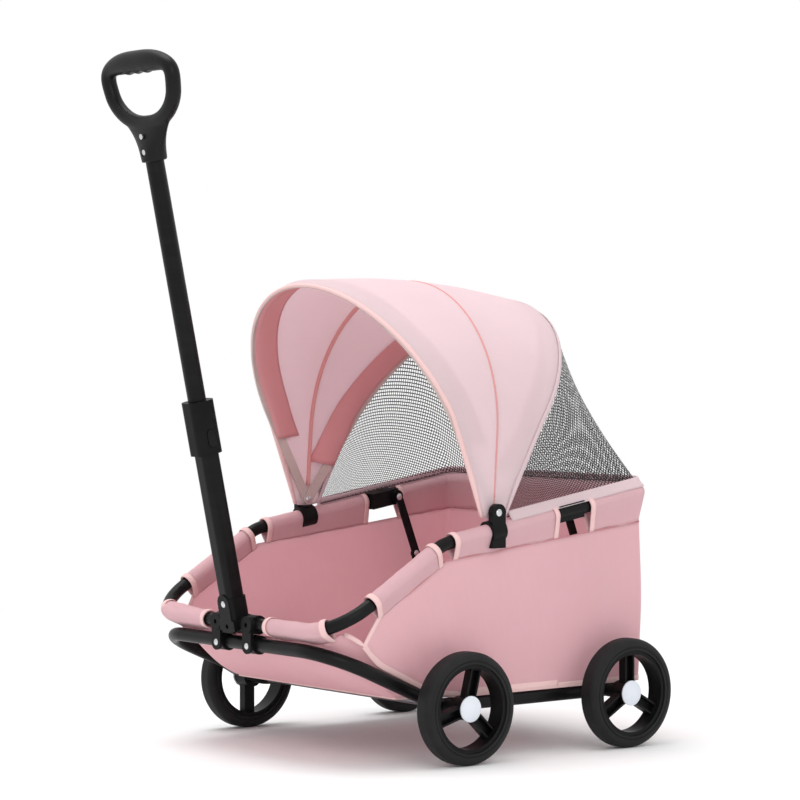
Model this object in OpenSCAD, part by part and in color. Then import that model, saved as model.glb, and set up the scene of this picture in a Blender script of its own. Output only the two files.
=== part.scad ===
// Folding pet stroller: four wheels, a bent-tube chassis, a hinged upper ring that
// carries a fabric basket and a canopy, and a telescopic pull handle.
// Local frame: X across, Y to the rear, Z up, and Y = 0 midway between the axles until
// placed() moves every piece so that the origin lies under the middle of the whole object.

/* [Wheels] */
// Outer diameter of a tyre
wheel_d = 152; // [146:1:158]
// Width of a tyre
tyre_w = 30; // [26:1:32]
// Distance between the left and right wheels' centre planes
track = 504; // [500:1:510]
// Distance between the axles
wheel_base = 290; // [280:1:300]
// Diameter of the axle rods
axle_d = 10; // [8:1:12]

/* [Frame] */
// Outer diameter of the chassis tube
chassis_tube_d = 19; // [18:0.5:20]
// Outer diameter of the upper ring tube
ring_tube_d = 18; // [17:0.5:18]
// Wall thickness of the hinge tube
tube_wall = 1.5; // [1:0.1:2]
// Half distance between the centre lines of the chassis rails
rail_x = 205; // [203:0.5:206]
// Half distance between the centre lines of the ring's sides
ring_x = 215.5; // [214:0.5:217]

/* [Canopy] */
// Length of a bow's straight leg above its hinge
bow_leg = 138; // [120:1:150]
// Lean of the front bow, forwards from vertical
front_bow_lean = 27.5; // [20:0.5:32]
// Lean of the rear bow, backwards from vertical
rear_bow_lean = 35.5; // [30:0.5:38]

/* [Handle] */
// Lean of the handle, forwards from vertical
handle_lean = 11.9; // [5:0.1:15]
// Width of the square lower tube
lower_tube_w = 28; // [28:0.1:28.4]
// Diameter of the sliding upper tube
upper_tube_d = 24.8; // [24:0.1:24.9]
// Width of the grip's loop, outside
grip_w = 173; // [150:1:180]

/* [Hidden] */
$fn = 64;
origin_shift = 145.6; // moves the chassis frame so that the object's box is centred
run_gap = 0.05; // radial clearance of a running fit
side_gap = 0.5; // gap between parts that slide past each other

// Wheels and axles
wheel_r = wheel_d / 2;
axle_y = wheel_base / 2;
axle_z = wheel_r;
wheel_x = track / 2;
rim_r = 60;
shoulder_r = 9;
cap_r = 17.5;
boss_r = 16;
boss_out = 9.5; // the boss's outer face, from the wheel's centre plane
nut_recess = 4; // the floor of the nut's recess, from the wheel's centre plane
spoke_w = 17;
axle_reach = wheel_x + nut_recess + 4.6;

// Chassis tube: a U whose front rises to a cross tube under the ring's hinge
rail_z = axle_z;
bend_y = -152;
nose_y = -334;
nose_z = 156;
rail_end_y = 198;
cross_bar_r = 7;
chassis_path = [
    [-rail_x, rail_end_y, rail_z], [-rail_x, bend_y, rail_z], [-rail_x, nose_y, nose_z],
    [rail_x, nose_y, nose_z], [rail_x, bend_y, rail_z], [rail_x, rail_end_y, rail_z]
];
chassis_radii = [0, 60, 68, 68, 60, 0];

// Upper ring: hinges on its own front cross tube
hinge_y = -336;
hinge_z = 183;
knuckle_y = -155;
knuckle_z = 293.2;
ring_rear_y = 207;
ring_slope = 0.165;
ring_rear_z = knuckle_z + ring_slope * (ring_rear_y - knuckle_y);
hinge_half = 150;
ring_path = [
    [hinge_half, hinge_y, hinge_z], [ring_x, hinge_y, hinge_z], [ring_x, knuckle_y, knuckle_z],
    [ring_x, ring_rear_y, ring_rear_z], [-ring_x, ring_rear_y, ring_rear_z],
    [-ring_x, knuckle_y, knuckle_z], [-ring_x, hinge_y, hinge_z], [-hinge_half, hinge_y, hinge_z]
];
ring_radii = [0, 65, 60, 16, 16, 60, 65, 0];
nose_slope = (knuckle_z - hinge_z) / (knuckle_y - hinge_y);
sleeve_r = ring_tube_d / 2 + 2;

// Canopy: both bows turn on one rivet on each side
canopy_y = -66;
canopy_z = 333;
strip_w = 14;
strip_t = 3;
front_bow_r = 213.5; // outer radius of the front bow's arch
rear_bow_r = 209.7;
rib_r = 205;
rib_leg = 104;
rib_lean = 4;
rib_seam_r = 317.5; // from the hinge to the cloth's top at the rib
cloth_gap = 1.5; // from the bows to the canopy's cloth
pin_r = 3;
fabric_t = 1.6;
ear_x = 218.5;
ear_t = 9;

// Stays: a two-link strut on each side, from the ring down to the rail
stay_top = [88, 332.5]; // Y and Z of the upper pivot
stay_foot = [176, 104];
stay_upper_l_mm = 92;
stay_t = 3;
stay_w = 13;
stay_upper_x = 187.3; // inner face of the upper link
stay_lower_x = stay_upper_x + stay_t + side_gap;
stay_dir = (stay_foot - stay_top) / norm(stay_foot - stay_top);
knee = stay_top + stay_upper_l_mm * stay_dir;

// Basket
floor_z = 85.6; // underside of the fabric floor, on top of the rails
cloth_t = 2.2;
board_z = 87.4;
board_t = 3;
board_x = 186;
basket_front_y = -209;
basket_rear_y = 208;
basket_lip_y = -320;
lip_drop = 17;

// Handle, measured along its own axis from the hinge
link_x = 36; // centre plane of a link bracket
link_w = 24;
tube_start = 14.5;
collar_start = 237;
collar_len = 73;
collar_w = 38;
collar_corner = 13;
lower_tube_end = collar_start + 8;
lower_tube_corner = 8;
tube_y = -5; // the tubes' axis stands a little in front of the hinge
button_s = collar_start + 22;
button_travel = 2.5;
socket_s = 636;
upper_tube_start = collar_start;
upper_tube_end = socket_s + 26;
grip_mid = 729; // height at which the grip's loop is half way up its sides
grip_top = 39.8;
grip_bottom = 42;
limb_r = 10.4; // radius of the loop's sides
bar_swell = 5; // how much thicker its top bar is
neck_r = 17;
screw_face = -13.2;
screw_heights = [650, 671];

// ---- Placing and bending -------------------------------------------------------------

function unit(v) = v / norm(v);
function turn_of(path, i) = acos(unit(path[i] - path[i - 1]) * unit(path[i + 1] - path[i]));
function trim_of(path, radii, i) =
    (i == 0 || i == len(path) - 1) ? 0 : radii[i] * tan(turn_of(path, i) / 2);

module placed() {
    translate([0, origin_shift, 0]) children();
}

// Places children so that their Z axis runs from a towards b
module along(a, b) {
    z = unit(b - a);
    x = abs(z[2]) > 0.9 ? [1, 0, 0] : unit(cross(z, [0, 0, 1]));
    y = unit(cross(z, x));
    w = cross(y, z);
    multmatrix([[w[0], y[0], z[0], a[0]], [w[1], y[1], z[1], a[1]], [w[2], y[2], z[2], a[2]], [0, 0, 0, 1]])
        children();
}

module rod(a, b, r) {
    along(a, b) cylinder(h = norm(b - a), r = r);
}

// Stations [point, direction] along a path with round corners
function stations(path, radii, steps) = [
    [path[0], unit(path[1] - path[0])],
    for (i = [1 : len(path) - 2])
        let (u = unit(path[i] - path[i - 1]), v = unit(path[i + 1] - path[i]), n = unit(v - (u * v) * u))
        let (turn = turn_of(path, i), c = path[i] - trim_of(path, radii, i) * u + radii[i] * n)
        for (k = [0 : steps])
            let (a = turn * k / steps)
            [c + radii[i] * (sin(a) * u - cos(a) * n), cos(a) * u + sin(a) * n],
    [path[len(path) - 1], unit(path[len(path) - 1] - path[len(path) - 2])]
];

// A round bar that follows a path with round corners
module bent_bar(path, radii, r) {
    sides = 20;
    sections = [
        for (s = stations(path, radii, 8))
            let (a = unit(cross(s[1], [0, 0, 1])), b = cross(a, s[1]))
            [for (j = [0 : sides - 1]) s[0] + r * cos(360 * j / sides) * a + r * sin(360 * j / sides) * b]
    ];
    skin(sections, false);
}

module across_x(x0, x1, y, z, r) {
    translate([x0, y, z]) rotate([0, 90, 0]) cylinder(h = x1 - x0, r = r);
}

module across_y(x, y0, y1, z, r) {
    translate([x, y0, z]) rotate([-90, 0, 0]) cylinder(h = y1 - y0, r = r);
}

// A domed head whose flat side lies in the local XY plane
module rivet_head(r, h) {
    dome_r = (r * r + h * h) / (2 * h);
    rotate_extrude() intersection() {
        translate([0, h - dome_r]) circle(r = dome_r, $fn = 256);
        square([r, h]);
    }
}

module rounded_square(w, d, r) {
    square([w - 2 * r, d], center = true);
    square([w, d - 2 * r], center = true);
    for (x = [-1, 1], y = [-1, 1]) translate([x * (w / 2 - r), y * (d / 2 - r)]) circle(r = r);
}

// A thin skin through a row of cross sections that all have the same number of points.
// A section lists its outer points in order and then its inner points in reverse order.
module skin(sections, closed) {
    n = len(sections[0]);
    count = len(sections);
    rows = closed ? count : count - 1;
    points = [for (s = sections) for (p = s) p];
    sides = [
        for (i = [0 : rows - 1], j = [0 : n - 1])
            let (k = (i + 1) % count, m = (j + 1) % n)
            for (f = [[i * n + j, i * n + m, k * n + m], [i * n + j, k * n + m, k * n + j]]) f
    ];
    first = [for (j = [0 : n / 2 - 2]) for (f = [[n - 1 - j, j + 1, j], [n - 1 - j, n - 2 - j, j + 1]]) f];
    last = [for (f = first) [for (q = [2, 1, 0]) f[q] + (count - 1) * n]];
    polyhedron(points = points, faces = closed ? sides : concat(sides, first, last));
}

// ---- Chassis -------------------------------------------------------------------------

module chassis_tube() {
    color("#232325") placed() difference() {
        bent_bar(chassis_path, chassis_radii, chassis_tube_d / 2);
        for (y = [-axle_y, axle_y]) across_x(-wheel_x, wheel_x, y, axle_z, axle_d / 2 + run_gap);
    }
}

module rear_cross_bar() {
    color("#232325") placed() difference() {
        across_x(-rail_x, rail_x, rail_end_y - 12, rail_z, cross_bar_r);
        for (s = [-1, 1]) across_y(s * rail_x, 0, rail_end_y + 5, rail_z, chassis_tube_d / 2 + 0.02);
    }
}

module axle(y) {
    color("#8d8f92") placed() across_x(-axle_reach, axle_reach, y, axle_z, axle_d / 2);
}

module front_axle() axle(-axle_y);
module rear_axle() axle(axle_y);

module axle_spacers() {
    inner = rail_x + chassis_tube_d / 2 + 0.3;
    outer = wheel_x - tyre_w / 2 - side_gap;
    color("#1d1d1f") placed() for (s = [-1, 1], y = [-axle_y, axle_y]) mirror([s < 0 ? 1 : 0, 0, 0])
        difference() {
            across_x(inner, outer, y, axle_z, 9);
            across_x(inner - 1, outer + 1, y, axle_z, axle_d / 2 + 0.01);
        }
}

module axle_nuts() {
    start = wheel_x + nut_recess + 0.4;
    color("#a9abae") placed() for (s = [-1, 1], y = [-axle_y, axle_y]) mirror([s < 0 ? 1 : 0, 0, 0])
        translate([start, y, axle_z]) rotate([0, 90, 0]) difference() {
            cylinder(h = 4, r = 8, $fn = 6);
            translate([0, 0, -1]) cylinder(h = 6, r = axle_d / 2 + 0.01);
        }
}

// A plastic link that ties the ring's hinge tube to the chassis nose
module link_bracket(s) {
    x = s * link_x;
    plate_y = hinge_y - 15;
    plate_t = 4.5;
    color("#1b1b1d") placed() difference() {
        union() {
            across_x(x - link_w / 2 + 2, x + link_w / 2 - 2, hinge_y, hinge_z, 13);
            across_x(x - link_w / 2 + 2, x + link_w / 2 - 2, nose_y, nose_z, 13);
            across_y(x, plate_y, hinge_y, hinge_z, link_w / 2);
            across_y(x, plate_y + 1, plate_y + plate_t, nose_z - 1.5, 10.5);
            translate([x - 10, plate_y + 1, nose_z]) cube([20, plate_t, hinge_z - nose_z]);
        }
        across_x(x - link_w, x + link_w, hinge_y, hinge_z, ring_tube_d / 2 + run_gap);
        across_x(x - link_w, x + link_w, nose_y, nose_z, chassis_tube_d / 2 + 0.02);
        across_y(x, plate_y - 1, plate_y + 3, hinge_z, 3.2);
    }
}

module link_bracket_l() link_bracket(-1);
module link_bracket_r() link_bracket(1);

module link_rivets() {
    color("#c9ccd0") placed() for (s = [-1, 1])
        translate([s * link_x, hinge_y - 14, nose_z - 1.5]) rotate([90, 0, 0]) rivet_head(4.5, 2);
}

module rail_plugs() {
    color("#1b1b1d") placed() for (s = [-1, 1])
        across_y(s * rail_x, rail_end_y, rail_end_y + 3, rail_z, chassis_tube_d / 2);
}

module rail_rivets() {
    color("#c9ccd0") placed() for (s = [-1, 1]) difference() {
        translate([s * (rail_x + chassis_tube_d / 2 - 0.9), 102, rail_z]) rotate([0, s * 90, 0]) rivet_head(4, 2.3);
        across_y(s * rail_x, 90, 114, rail_z, chassis_tube_d / 2 + 0.02);
    }
}

// ---- Basket --------------------------------------------------------------------------

function ring_z(y) =
    y < knuckle_y ? hinge_z + nose_slope * (y - hinge_y) : knuckle_z + ring_slope * (y - knuckle_y);

// Half width of the basket's floor: narrower where the chassis tube climbs beside it
function floor_half(y) =
    y < -158 ? 181 + 9 * (y - basket_front_y) / 51 : y < -118 ? 190 + 23 * (y + 158) / 40 : 213;

side_steps = 14;
arc_steps = 6;

// Right half of the basket's upper edge, from the front's middle to the rear's middle
function lip_half(inset) =
    let (r = 62, q = 12, w = ring_x + 1)
    [
        for (x = [0, 50, 100, w - r]) [x, basket_lip_y + inset],
        for (a = [1 : arc_steps - 1])
            [w - r + (r - inset) * sin(a * 90 / arc_steps), basket_lip_y + r - (r - inset) * cos(a * 90 / arc_steps)],
        for (k = [0 : side_steps]) [w - inset, basket_lip_y + r + (basket_rear_y - q - basket_lip_y - r) * k / side_steps],
        for (a = [1 : arc_steps - 1])
            [w - q + (q - inset) * cos(a * 90 / arc_steps), basket_rear_y - q + (q - inset) * sin(a * 90 / arc_steps)],
        for (x = [w - q, 100, 50, 0]) [x, basket_rear_y - inset]
    ];

// Right half of the floor's outline, point for point with lip_half
function floor_outline(inset) =
    let (r = 24, q = 9, w = floor_half(basket_front_y + r))
    [
        for (x = [0, 50, 100, w - r]) [x, basket_front_y + inset],
        for (a = [1 : arc_steps - 1])
            [w - r + (r - inset) * sin(a * 90 / arc_steps), basket_front_y + r - (r - inset) * cos(a * 90 / arc_steps)],
        for (k = [0 : side_steps])
            let (y = basket_front_y + r + (basket_rear_y - q - basket_front_y - r) * k / side_steps)
            [floor_half(y) - inset, y],
        for (a = [1 : arc_steps - 1])
            [213 - q + (q - inset) * cos(a * 90 / arc_steps), basket_rear_y - q + (q - inset) * sin(a * 90 / arc_steps)],
        for (x = [213 - q, 100, 50, 0]) [x, basket_rear_y - inset]
    ];

// Both halves of an outline as one closed loop
function whole(half) = concat(half, [for (i = [len(half) - 2 : -1 : 1]) [-half[i][0], half[i][1]]]);

function lip_z(y) = ring_z(max(y, basket_lip_y)) - lip_drop;

module basket_walls() {
    lip_out = whole(lip_half(0));
    lip_in = whole(lip_half(cloth_t));
    floor_out = whole(floor_outline(0));
    floor_in = whole(floor_outline(cloth_t));
    z0 = floor_z + 1.7;
    sections = [
        for (k = [0 : len(lip_out) - 1]) [
            [floor_out[k][0], floor_out[k][1], z0], [lip_out[k][0], lip_out[k][1], lip_z(lip_out[k][1])],
            [lip_in[k][0], lip_in[k][1], lip_z(lip_out[k][1])], [floor_in[k][0], floor_in[k][1], z0]
        ]
    ];
    color("#dcb0b7") placed() skin(sections, true);
}

module basket_floor() {
    color("#d3a2aa") placed() translate([0, 0, floor_z]) difference() {
        linear_extrude(height = 1.6) polygon(whole(floor_outline(0)));
        for (s = [-1, 1]) translate([s * 194 - 5, 154, -1]) cube([10, 42, 4]);
    }
}

module floor_board() {
    y0 = basket_front_y + 8;
    y1 = basket_rear_y - 8;
    color("#b9868d") placed() translate([0, (y0 + y1) / 2, board_z])
        linear_extrude(height = board_t) rounded_square(2 * (board_x - 12), y1 - y0, 20);
}

// ---- Stays ---------------------------------------------------------------------------

module side_of(s) {
    mirror([s < 0 ? 1 : 0, 0, 0]) children();
}

// A flat link between two Y-Z points, with round ends and a hole at each. Its web is a little
// narrower than the ends, so that its edges meet them cleanly.
module flat_link(a, b, x, hole_a, hole_b) {
    reach = b - a;
    translate([x, 0, 0]) rotate([90, 0, 90]) linear_extrude(height = stay_t) difference() {
        union() {
            for (p = [a, b]) translate(p) circle(r = stay_w / 2);
            translate((a + b) / 2) rotate(atan2(reach[1], reach[0]))
                square([norm(reach), stay_w - 0.6], center = true);
        }
        translate(a) circle(r = hole_a);
        translate(b) circle(r = hole_b);
    }
}

module stay_upper(s) {
    color("#1f1f21") placed() side_of(s)
        flat_link(stay_top, knee, stay_upper_x, pin_r + run_gap, pin_r);
}

module stay_lower(s) {
    color("#1f1f21") placed() side_of(s)
        flat_link(stay_foot, knee, stay_lower_x, pin_r + run_gap, pin_r + 1);
}

module knee_rivet(s) {
    color("#c9ccd0") placed() side_of(s) {
        across_x(stay_upper_x, stay_upper_x + stay_t, knee[0], knee[1], pin_r);
        translate([stay_upper_x, knee[0], knee[1]]) rotate([0, -90, 0]) rivet_head(4.5, 1.6);
    }
}

module stay_upper_l() stay_upper(-1);
module stay_upper_r() stay_upper(1);
module stay_lower_l() stay_lower(-1);
module stay_lower_r() stay_lower(1);
module knee_rivet_l() knee_rivet(-1);
module knee_rivet_r() knee_rivet(1);

module stay_foot_plate(s) {
    x = stay_lower_x + stay_t + side_gap;
    color("#1f1f21") placed() side_of(s) difference() {
        union() {
            across_x(x, x + 3, stay_foot[0], stay_foot[1], 9);
            translate([x, stay_foot[0] - 16, rail_z - 8]) cube([3, 32, 18]);
            translate([x, stay_foot[0] - 9, rail_z]) cube([3, 18, stay_foot[1] - rail_z]);
        }
        across_y(rail_x, stay_foot[0] - 30, stay_foot[0] + 30, rail_z, chassis_tube_d / 2 + 0.02);
        across_x(x - 1, x + 4, stay_foot[0], stay_foot[1], pin_r);
        across_x(x - 1, x + 4, rail_end_y - 12, rail_z, cross_bar_r + 0.02);
    }
}

module stay_foot_l() stay_foot_plate(-1);
module stay_foot_r() stay_foot_plate(1);

module stay_foot_pins() {
    color("#c9ccd0") placed() for (s = [-1, 1]) side_of(s) {
        across_x(stay_lower_x - 0.2, stay_lower_x + stay_t + side_gap + 3, stay_foot[0], stay_foot[1], pin_r);
        translate([stay_lower_x - 0.4, stay_foot[0], stay_foot[1]]) rotate([0, -90, 0]) rivet_head(5, 1.8);
        across_x(stay_lower_x - 0.4, stay_lower_x - 0.2, stay_foot[0], stay_foot[1], pin_r);
    }
}

// A block clipped on the ring's side, with an ear for the stay's upper pivot
module stay_bracket(s) {
    x = stay_upper_x + stay_t + side_gap;
    front_y = stay_top[0] - 42;
    color("#1b1b1d") placed() side_of(s) difference() {
        union() {
            across_x(x, x + 10, stay_top[0], stay_top[1], 10);
            translate([x + 4, 0, 0]) rotate([90, 0, 90]) linear_extrude(height = ring_x - x + 4) polygon([
                [front_y, ring_z(front_y) - 12], [front_y + 46, ring_z(front_y + 46) - 12],
                [front_y + 46, ring_z(front_y + 46) + 11], [front_y, ring_z(front_y) + 11]
            ]);
        }
        rod([ring_x, front_y - 60, ring_z(front_y - 60)], [ring_x, 160, ring_z(160)], ring_tube_d / 2 + 0.02);
        across_x(x - 1, x + 8, stay_top[0], stay_top[1], pin_r);
    }
}

module stay_bracket_l() stay_bracket(-1);
module stay_bracket_r() stay_bracket(1);

module stay_top_pins() {
    color("#c9ccd0") placed() for (s = [-1, 1]) side_of(s) {
        across_x(stay_upper_x - 0.4, stay_upper_x + stay_t + 8, stay_top[0], stay_top[1], pin_r);
        translate([stay_upper_x - 0.4, stay_top[0], stay_top[1]]) rotate([0, -90, 0]) rivet_head(5, 1.8);
    }
}

// ---- Upper ring ----------------------------------------------------------------------

module ring_tube() {
    color("#232325") placed() bent_bar(ring_path, ring_radii, ring_tube_d / 2);
}

// The straight front of the ring, on which the ring and the handle both turn
module hinge_tube() {
    color("#232325") placed() difference() {
        across_x(-hinge_half, hinge_half, hinge_y, hinge_z, ring_tube_d / 2);
        across_x(-hinge_half - 1, hinge_half + 1, hinge_y, hinge_z, ring_tube_d / 2 - tube_wall);
    }
}

module sleeve(a, b) {
    difference() {
        rod(a, b, sleeve_r);
        rod(a - unit(b - a), b + unit(b - a), ring_tube_d / 2 + 0.02);
    }
}

function rail_point(y) = [ring_x, y, ring_z(y)];

// The basket's fabric loops around the ring, with bare tube between them
module rim_sleeves() {
    color("#e3bcc2") placed() {
        for (s = [-1, 1]) side_of(s) {
            sleeve([70, hinge_y, hinge_z], [148, hinge_y, hinge_z]);
            sleeve(rail_point(-276), rail_point(-168));
            sleeve(rail_point(-141), rail_point(43));
            sleeve(rail_point(102), rail_point(170));
        }
        sleeve([-178, ring_rear_y, ring_rear_z], [178, ring_rear_y, ring_rear_z]);
    }
}

// A clip on the ring with an ear for the bows' rivet
module canopy_bracket(s) {
    half = 12;
    web = half - 0.4;
    color("#1b1b1d") placed() side_of(s) difference() {
        union() {
            rod(rail_point(canopy_y - half), rail_point(canopy_y + half), 15.5);
            across_x(ear_x, ear_x + ear_t, canopy_y, canopy_z, half);
            translate([ear_x, canopy_y - web, canopy_z - 48]) cube([ear_t, 2 * web, 48]);
        }
        rod(rail_point(canopy_y - 30), rail_point(canopy_y + 30), sleeve_r + 0.02);
        across_x(ear_x - 1, ear_x + ear_t + 1, canopy_y, canopy_z, pin_r);
    }
}

module canopy_bracket_l() canopy_bracket(-1);
module canopy_bracket_r() canopy_bracket(1);

module canopy_pins() {
    color("#c9ccd0") placed() for (s = [-1, 1]) side_of(s) {
        across_x(rear_bow_r - strip_t - 1.2, ear_x + ear_t, canopy_y, canopy_z, pin_r);
        translate([ear_x + ear_t, canopy_y, canopy_z]) rotate([0, 90, 0]) rivet_head(5, 2);
        translate([rear_bow_r - strip_t - 0.6, canopy_y, canopy_z]) rotate([0, -90, 0]) rivet_head(5, 1.6);
    }
}

// ---- Canopy --------------------------------------------------------------------------

// Places children in a plane through the canopy's hinge that leans back by lean degrees,
// with X across, Y up the plane and Z behind it
module on_bow_plane(lean) {
    translate([0, canopy_y, canopy_z]) rotate([90 - lean, 0, 0]) mirror([0, 0, 1]) children();
}

// A flat strip bent to an arch with straight legs; r is its outer radius
module arch(r, leg, foot, t, w) {
    translate([0, leg, 0]) rotate_extrude(angle = 180) translate([r - t, -w / 2]) square([t, w]);
    for (s = [-1, 1]) translate([s > 0 ? r - t : -r, foot, -w / 2]) cube([t, leg - foot, w]);
}

module bow(r, lean) {
    color("#b7a49c") placed() on_bow_plane(lean) difference() {
        union() {
            arch(r, bow_leg, 0, strip_t, strip_w);
            for (x = [-r, r - strip_t]) translate([x, 0, 0]) rotate([0, 90, 0]) cylinder(h = strip_t, r = strip_w / 2);
        }
        translate([-r - 1, 0, 0]) rotate([0, 90, 0]) cylinder(h = 2 * r + 2, r = pin_r + run_gap);
    }
}

module front_bow() bow(front_bow_r, -front_bow_lean);
module rear_bow() bow(rear_bow_r, rear_bow_lean);

module canopy_rib() {
    color("#d9a9ae") placed() on_bow_plane(rib_lean) arch(rib_r, rib_leg, 40, 2, 8);
}

// A point of the arch at fraction t from the right foot over the top to the left foot
function arch_point(r, leg, foot, t) =
    let (straight = leg - foot, curved = PI * r, total = 2 * straight + curved, d = t * total)
    d < straight ? [r, foot + d]
    : d > total - straight ? [-r, foot + total - d]
    : let (a = (d - straight) / r * 180 / PI) [r * cos(a), leg + r * sin(a)];

// Turns a point of a bow's plane into the chassis frame
function on_plane(p, lean, behind) = [
    p[0],
    canopy_y + p[1] * sin(lean) + behind * cos(lean),
    canopy_z + p[1] * cos(lean) - behind * sin(lean)
];

canopy_arcs = 8;
canopy_stations = 36;

// How far the cloth's top stands from the hinge where it is stretched straight between two leans
function stretched(lean, lean_a, top_a, lean_b, top_b) =
    top_a * top_b * sin(lean_b - lean_a) / (top_a * sin(lean - lean_a) + top_b * sin(lean_b - lean));

// The cloth lies over each bow, and runs straight from the front bow to the rib and on to the rear bow
bow_cover = 1.6; // degrees of the cloth that lie flat on a bow
cover_front = bow_cover - front_bow_lean;
cover_rear = rear_bow_lean - bow_cover;
function cloth_leg(lean) =
    let (bow_top = front_bow_r + bow_leg, a = max(min(lean, cover_rear), cover_front))
    (a < rib_lean ? stretched(a, cover_front, bow_top, rib_lean, rib_seam_r)
        : stretched(a, rib_lean, rib_seam_r, cover_rear, bow_top)) - front_bow_r;

module canopy_fabric() {
    from = -front_bow_lean - 1.2;
    to = rear_bow_lean + 1.2;
    leans = [from, cover_front, -16, -6, rib_lean, 14, 24, cover_rear, to];
    inner_r = front_bow_r + cloth_gap;
    sections = [
        for (k = [0 : canopy_stations])
            let (t = k / canopy_stations)
            concat(
                [for (a = leans) on_plane(arch_point(inner_r + fabric_t, cloth_leg(a), 14, t), a, 0)],
                [for (j = [canopy_arcs : -1 : 0]) on_plane(arch_point(inner_r, cloth_leg(leans[j]), 14, t), leans[j], 0)]
            )
    ];
    color("#f0d7dc") placed() skin(sections, false);
}

// The line on top of the ring that the mesh is sewn to, from right to left
hem_rise = sleeve_r + 1.5;
function hem_point(t, inset) =
    let (w = ring_x - 1 - inset, front = canopy_y + 26, back = ring_rear_y - inset, side = back - front)
    let (total = 2 * side + 2 * w, d = t * total)
    let (x = d < side ? w : d > total - side ? -w : w - (d - side), y = d < side ? front + d : d > total - side ? front + total - d : back)
    [x, y, ring_z(y) + hem_rise];

module canopy_mesh() {
    lean = rear_bow_lean;
    behind = strip_w / 2 + 1;
    r = front_bow_r;
    sections = [
        for (k = [0 : canopy_stations])
            let (t = k / canopy_stations)
            [
                on_plane(arch_point(r, bow_leg, 24, t), lean, behind), hem_point(t, 0),
                hem_point(t, 1.2), on_plane(arch_point(r - 1.2, bow_leg, 24, t), lean, behind)
            ]
    ];
    color("#3a3a3c") placed() skin(sections, false);
}

// ---- Handle --------------------------------------------------------------------------

// Places children on the handle's axis: Z up the handle, Y behind it
module on_handle() {
    placed() translate([0, hinge_y, hinge_z]) rotate([handle_lean, 0, 0]) children();
}

// Places children on the tubes' own axis
module on_tubes() {
    on_handle() translate([0, tube_y, 0]) children();
}

module tube_outline(w, corner) {
    rounded_square(w, w, corner);
}

module handle_bracket() {
    front = -21;
    plate_t = 3.5;
    color("#1b1b1d") difference() {
        union() {
            on_handle() across_x(-20.5, 20.5, 0, 0, 13.5);
            on_handle() translate([-13, front, -9]) cube([26, plate_t, 40]);
            on_handle() translate([-17, front, -6]) cube([34, 9, 14]);
            on_handle() across_y(0, front, front + plate_t, 31, 13);
            on_tubes() translate([0, 0, 8]) linear_extrude(height = 30) tube_outline(31.5, 8.5);
        }
        on_handle() across_x(-30, 30, 0, 0, ring_tube_d / 2 + run_gap);
        on_tubes() translate([0, 0, tube_start]) linear_extrude(height = 60)
            tube_outline(lower_tube_w + 0.04, lower_tube_corner);
        on_handle() across_y(0, front - 1, front + 3, 0, 3.2);
    }
}

module handle_rivet() {
    color("#c9ccd0") on_handle() translate([0, -21, 31]) rotate([90, 0, 0]) rivet_head(4.5, 2);
}

module handle_lower_tube() {
    color("#222224") on_tubes() translate([0, 0, tube_start])
        linear_extrude(height = lower_tube_end - tube_start) difference() {
            tube_outline(lower_tube_w, lower_tube_corner);
            tube_outline(lower_tube_w - 3, lower_tube_corner - 1.5);
        }
}

module button_shape(depth, grow) {
    rotate([0, 90, 0]) linear_extrude(height = depth) {
        for (z = [-6, 6]) translate([z, 0]) circle(r = 6 + grow);
        square([12, 12 + 2 * grow], center = true);
    }
}

module handle_collar() {
    color("#1b1b1d") on_tubes() difference() {
        translate([0, 0, collar_start]) linear_extrude(height = collar_len) tube_outline(collar_w, collar_corner);
        translate([0, 0, collar_start - 1]) linear_extrude(height = lower_tube_end - collar_start + 1)
            tube_outline(lower_tube_w + 0.04, lower_tube_corner);
        cylinder(h = collar_start + collar_len + 10, r = upper_tube_d / 2 + run_gap);
        translate([upper_tube_d / 2 - 1, 0, button_s]) button_shape(20, 0.4);
    }
}

module release_button() {
    color("#141415") on_tubes() translate([upper_tube_d / 2 + button_travel + 0.6, 0, button_s])
        button_shape(4.5, 0);
}

module handle_upper_tube() {
    color("#222224") on_tubes() translate([0, 0, upper_tube_start]) difference() {
        cylinder(h = upper_tube_end - upper_tube_start, r = upper_tube_d / 2);
        translate([0, 0, -1]) cylinder(h = upper_tube_end - upper_tube_start + 2, r = upper_tube_d / 2 - 1.5);
    }
}

function power(v, e) = sign(v) * pow(abs(v), e);

// Height of the loop's centre line over the loop's middle
function loop_height(a) = cos(a) > 0 ? grip_top * sqrt(cos(a)) : grip_bottom * cos(a);

// Centre line of the grip's loop: nearly straight across the top and rounder below
function loop_point(a) = [
    (grip_w / 2 - limb_r) * power(sin(a), cos(a) > 0 ? 0.6 : 0.85) * (1 + 0.12 * loop_height(a) / grip_bottom) / 1.04,
    0,
    grip_mid + loop_height(a)
];

module grip_loop() {
    steps = 72;
    sides = 16;
    sections = [
        for (i = [0 : steps - 1])
            let (a = 360 * i / steps, c = loop_point(a), t = unit(loop_point(a + 2) - loop_point(a - 2)))
            let (n = [t[2], 0, -t[0]], swell = pow(max(cos(a), 0), 6))
            let (r = limb_r + bar_swell * swell, depth = limb_r + bar_swell * swell / 2)
            [for (j = [0 : sides - 1]) c + r * cos(360 * j / sides) * n - [0, depth * sin(360 * j / sides), 0]]
    ];
    skin(sections, true);
}

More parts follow.
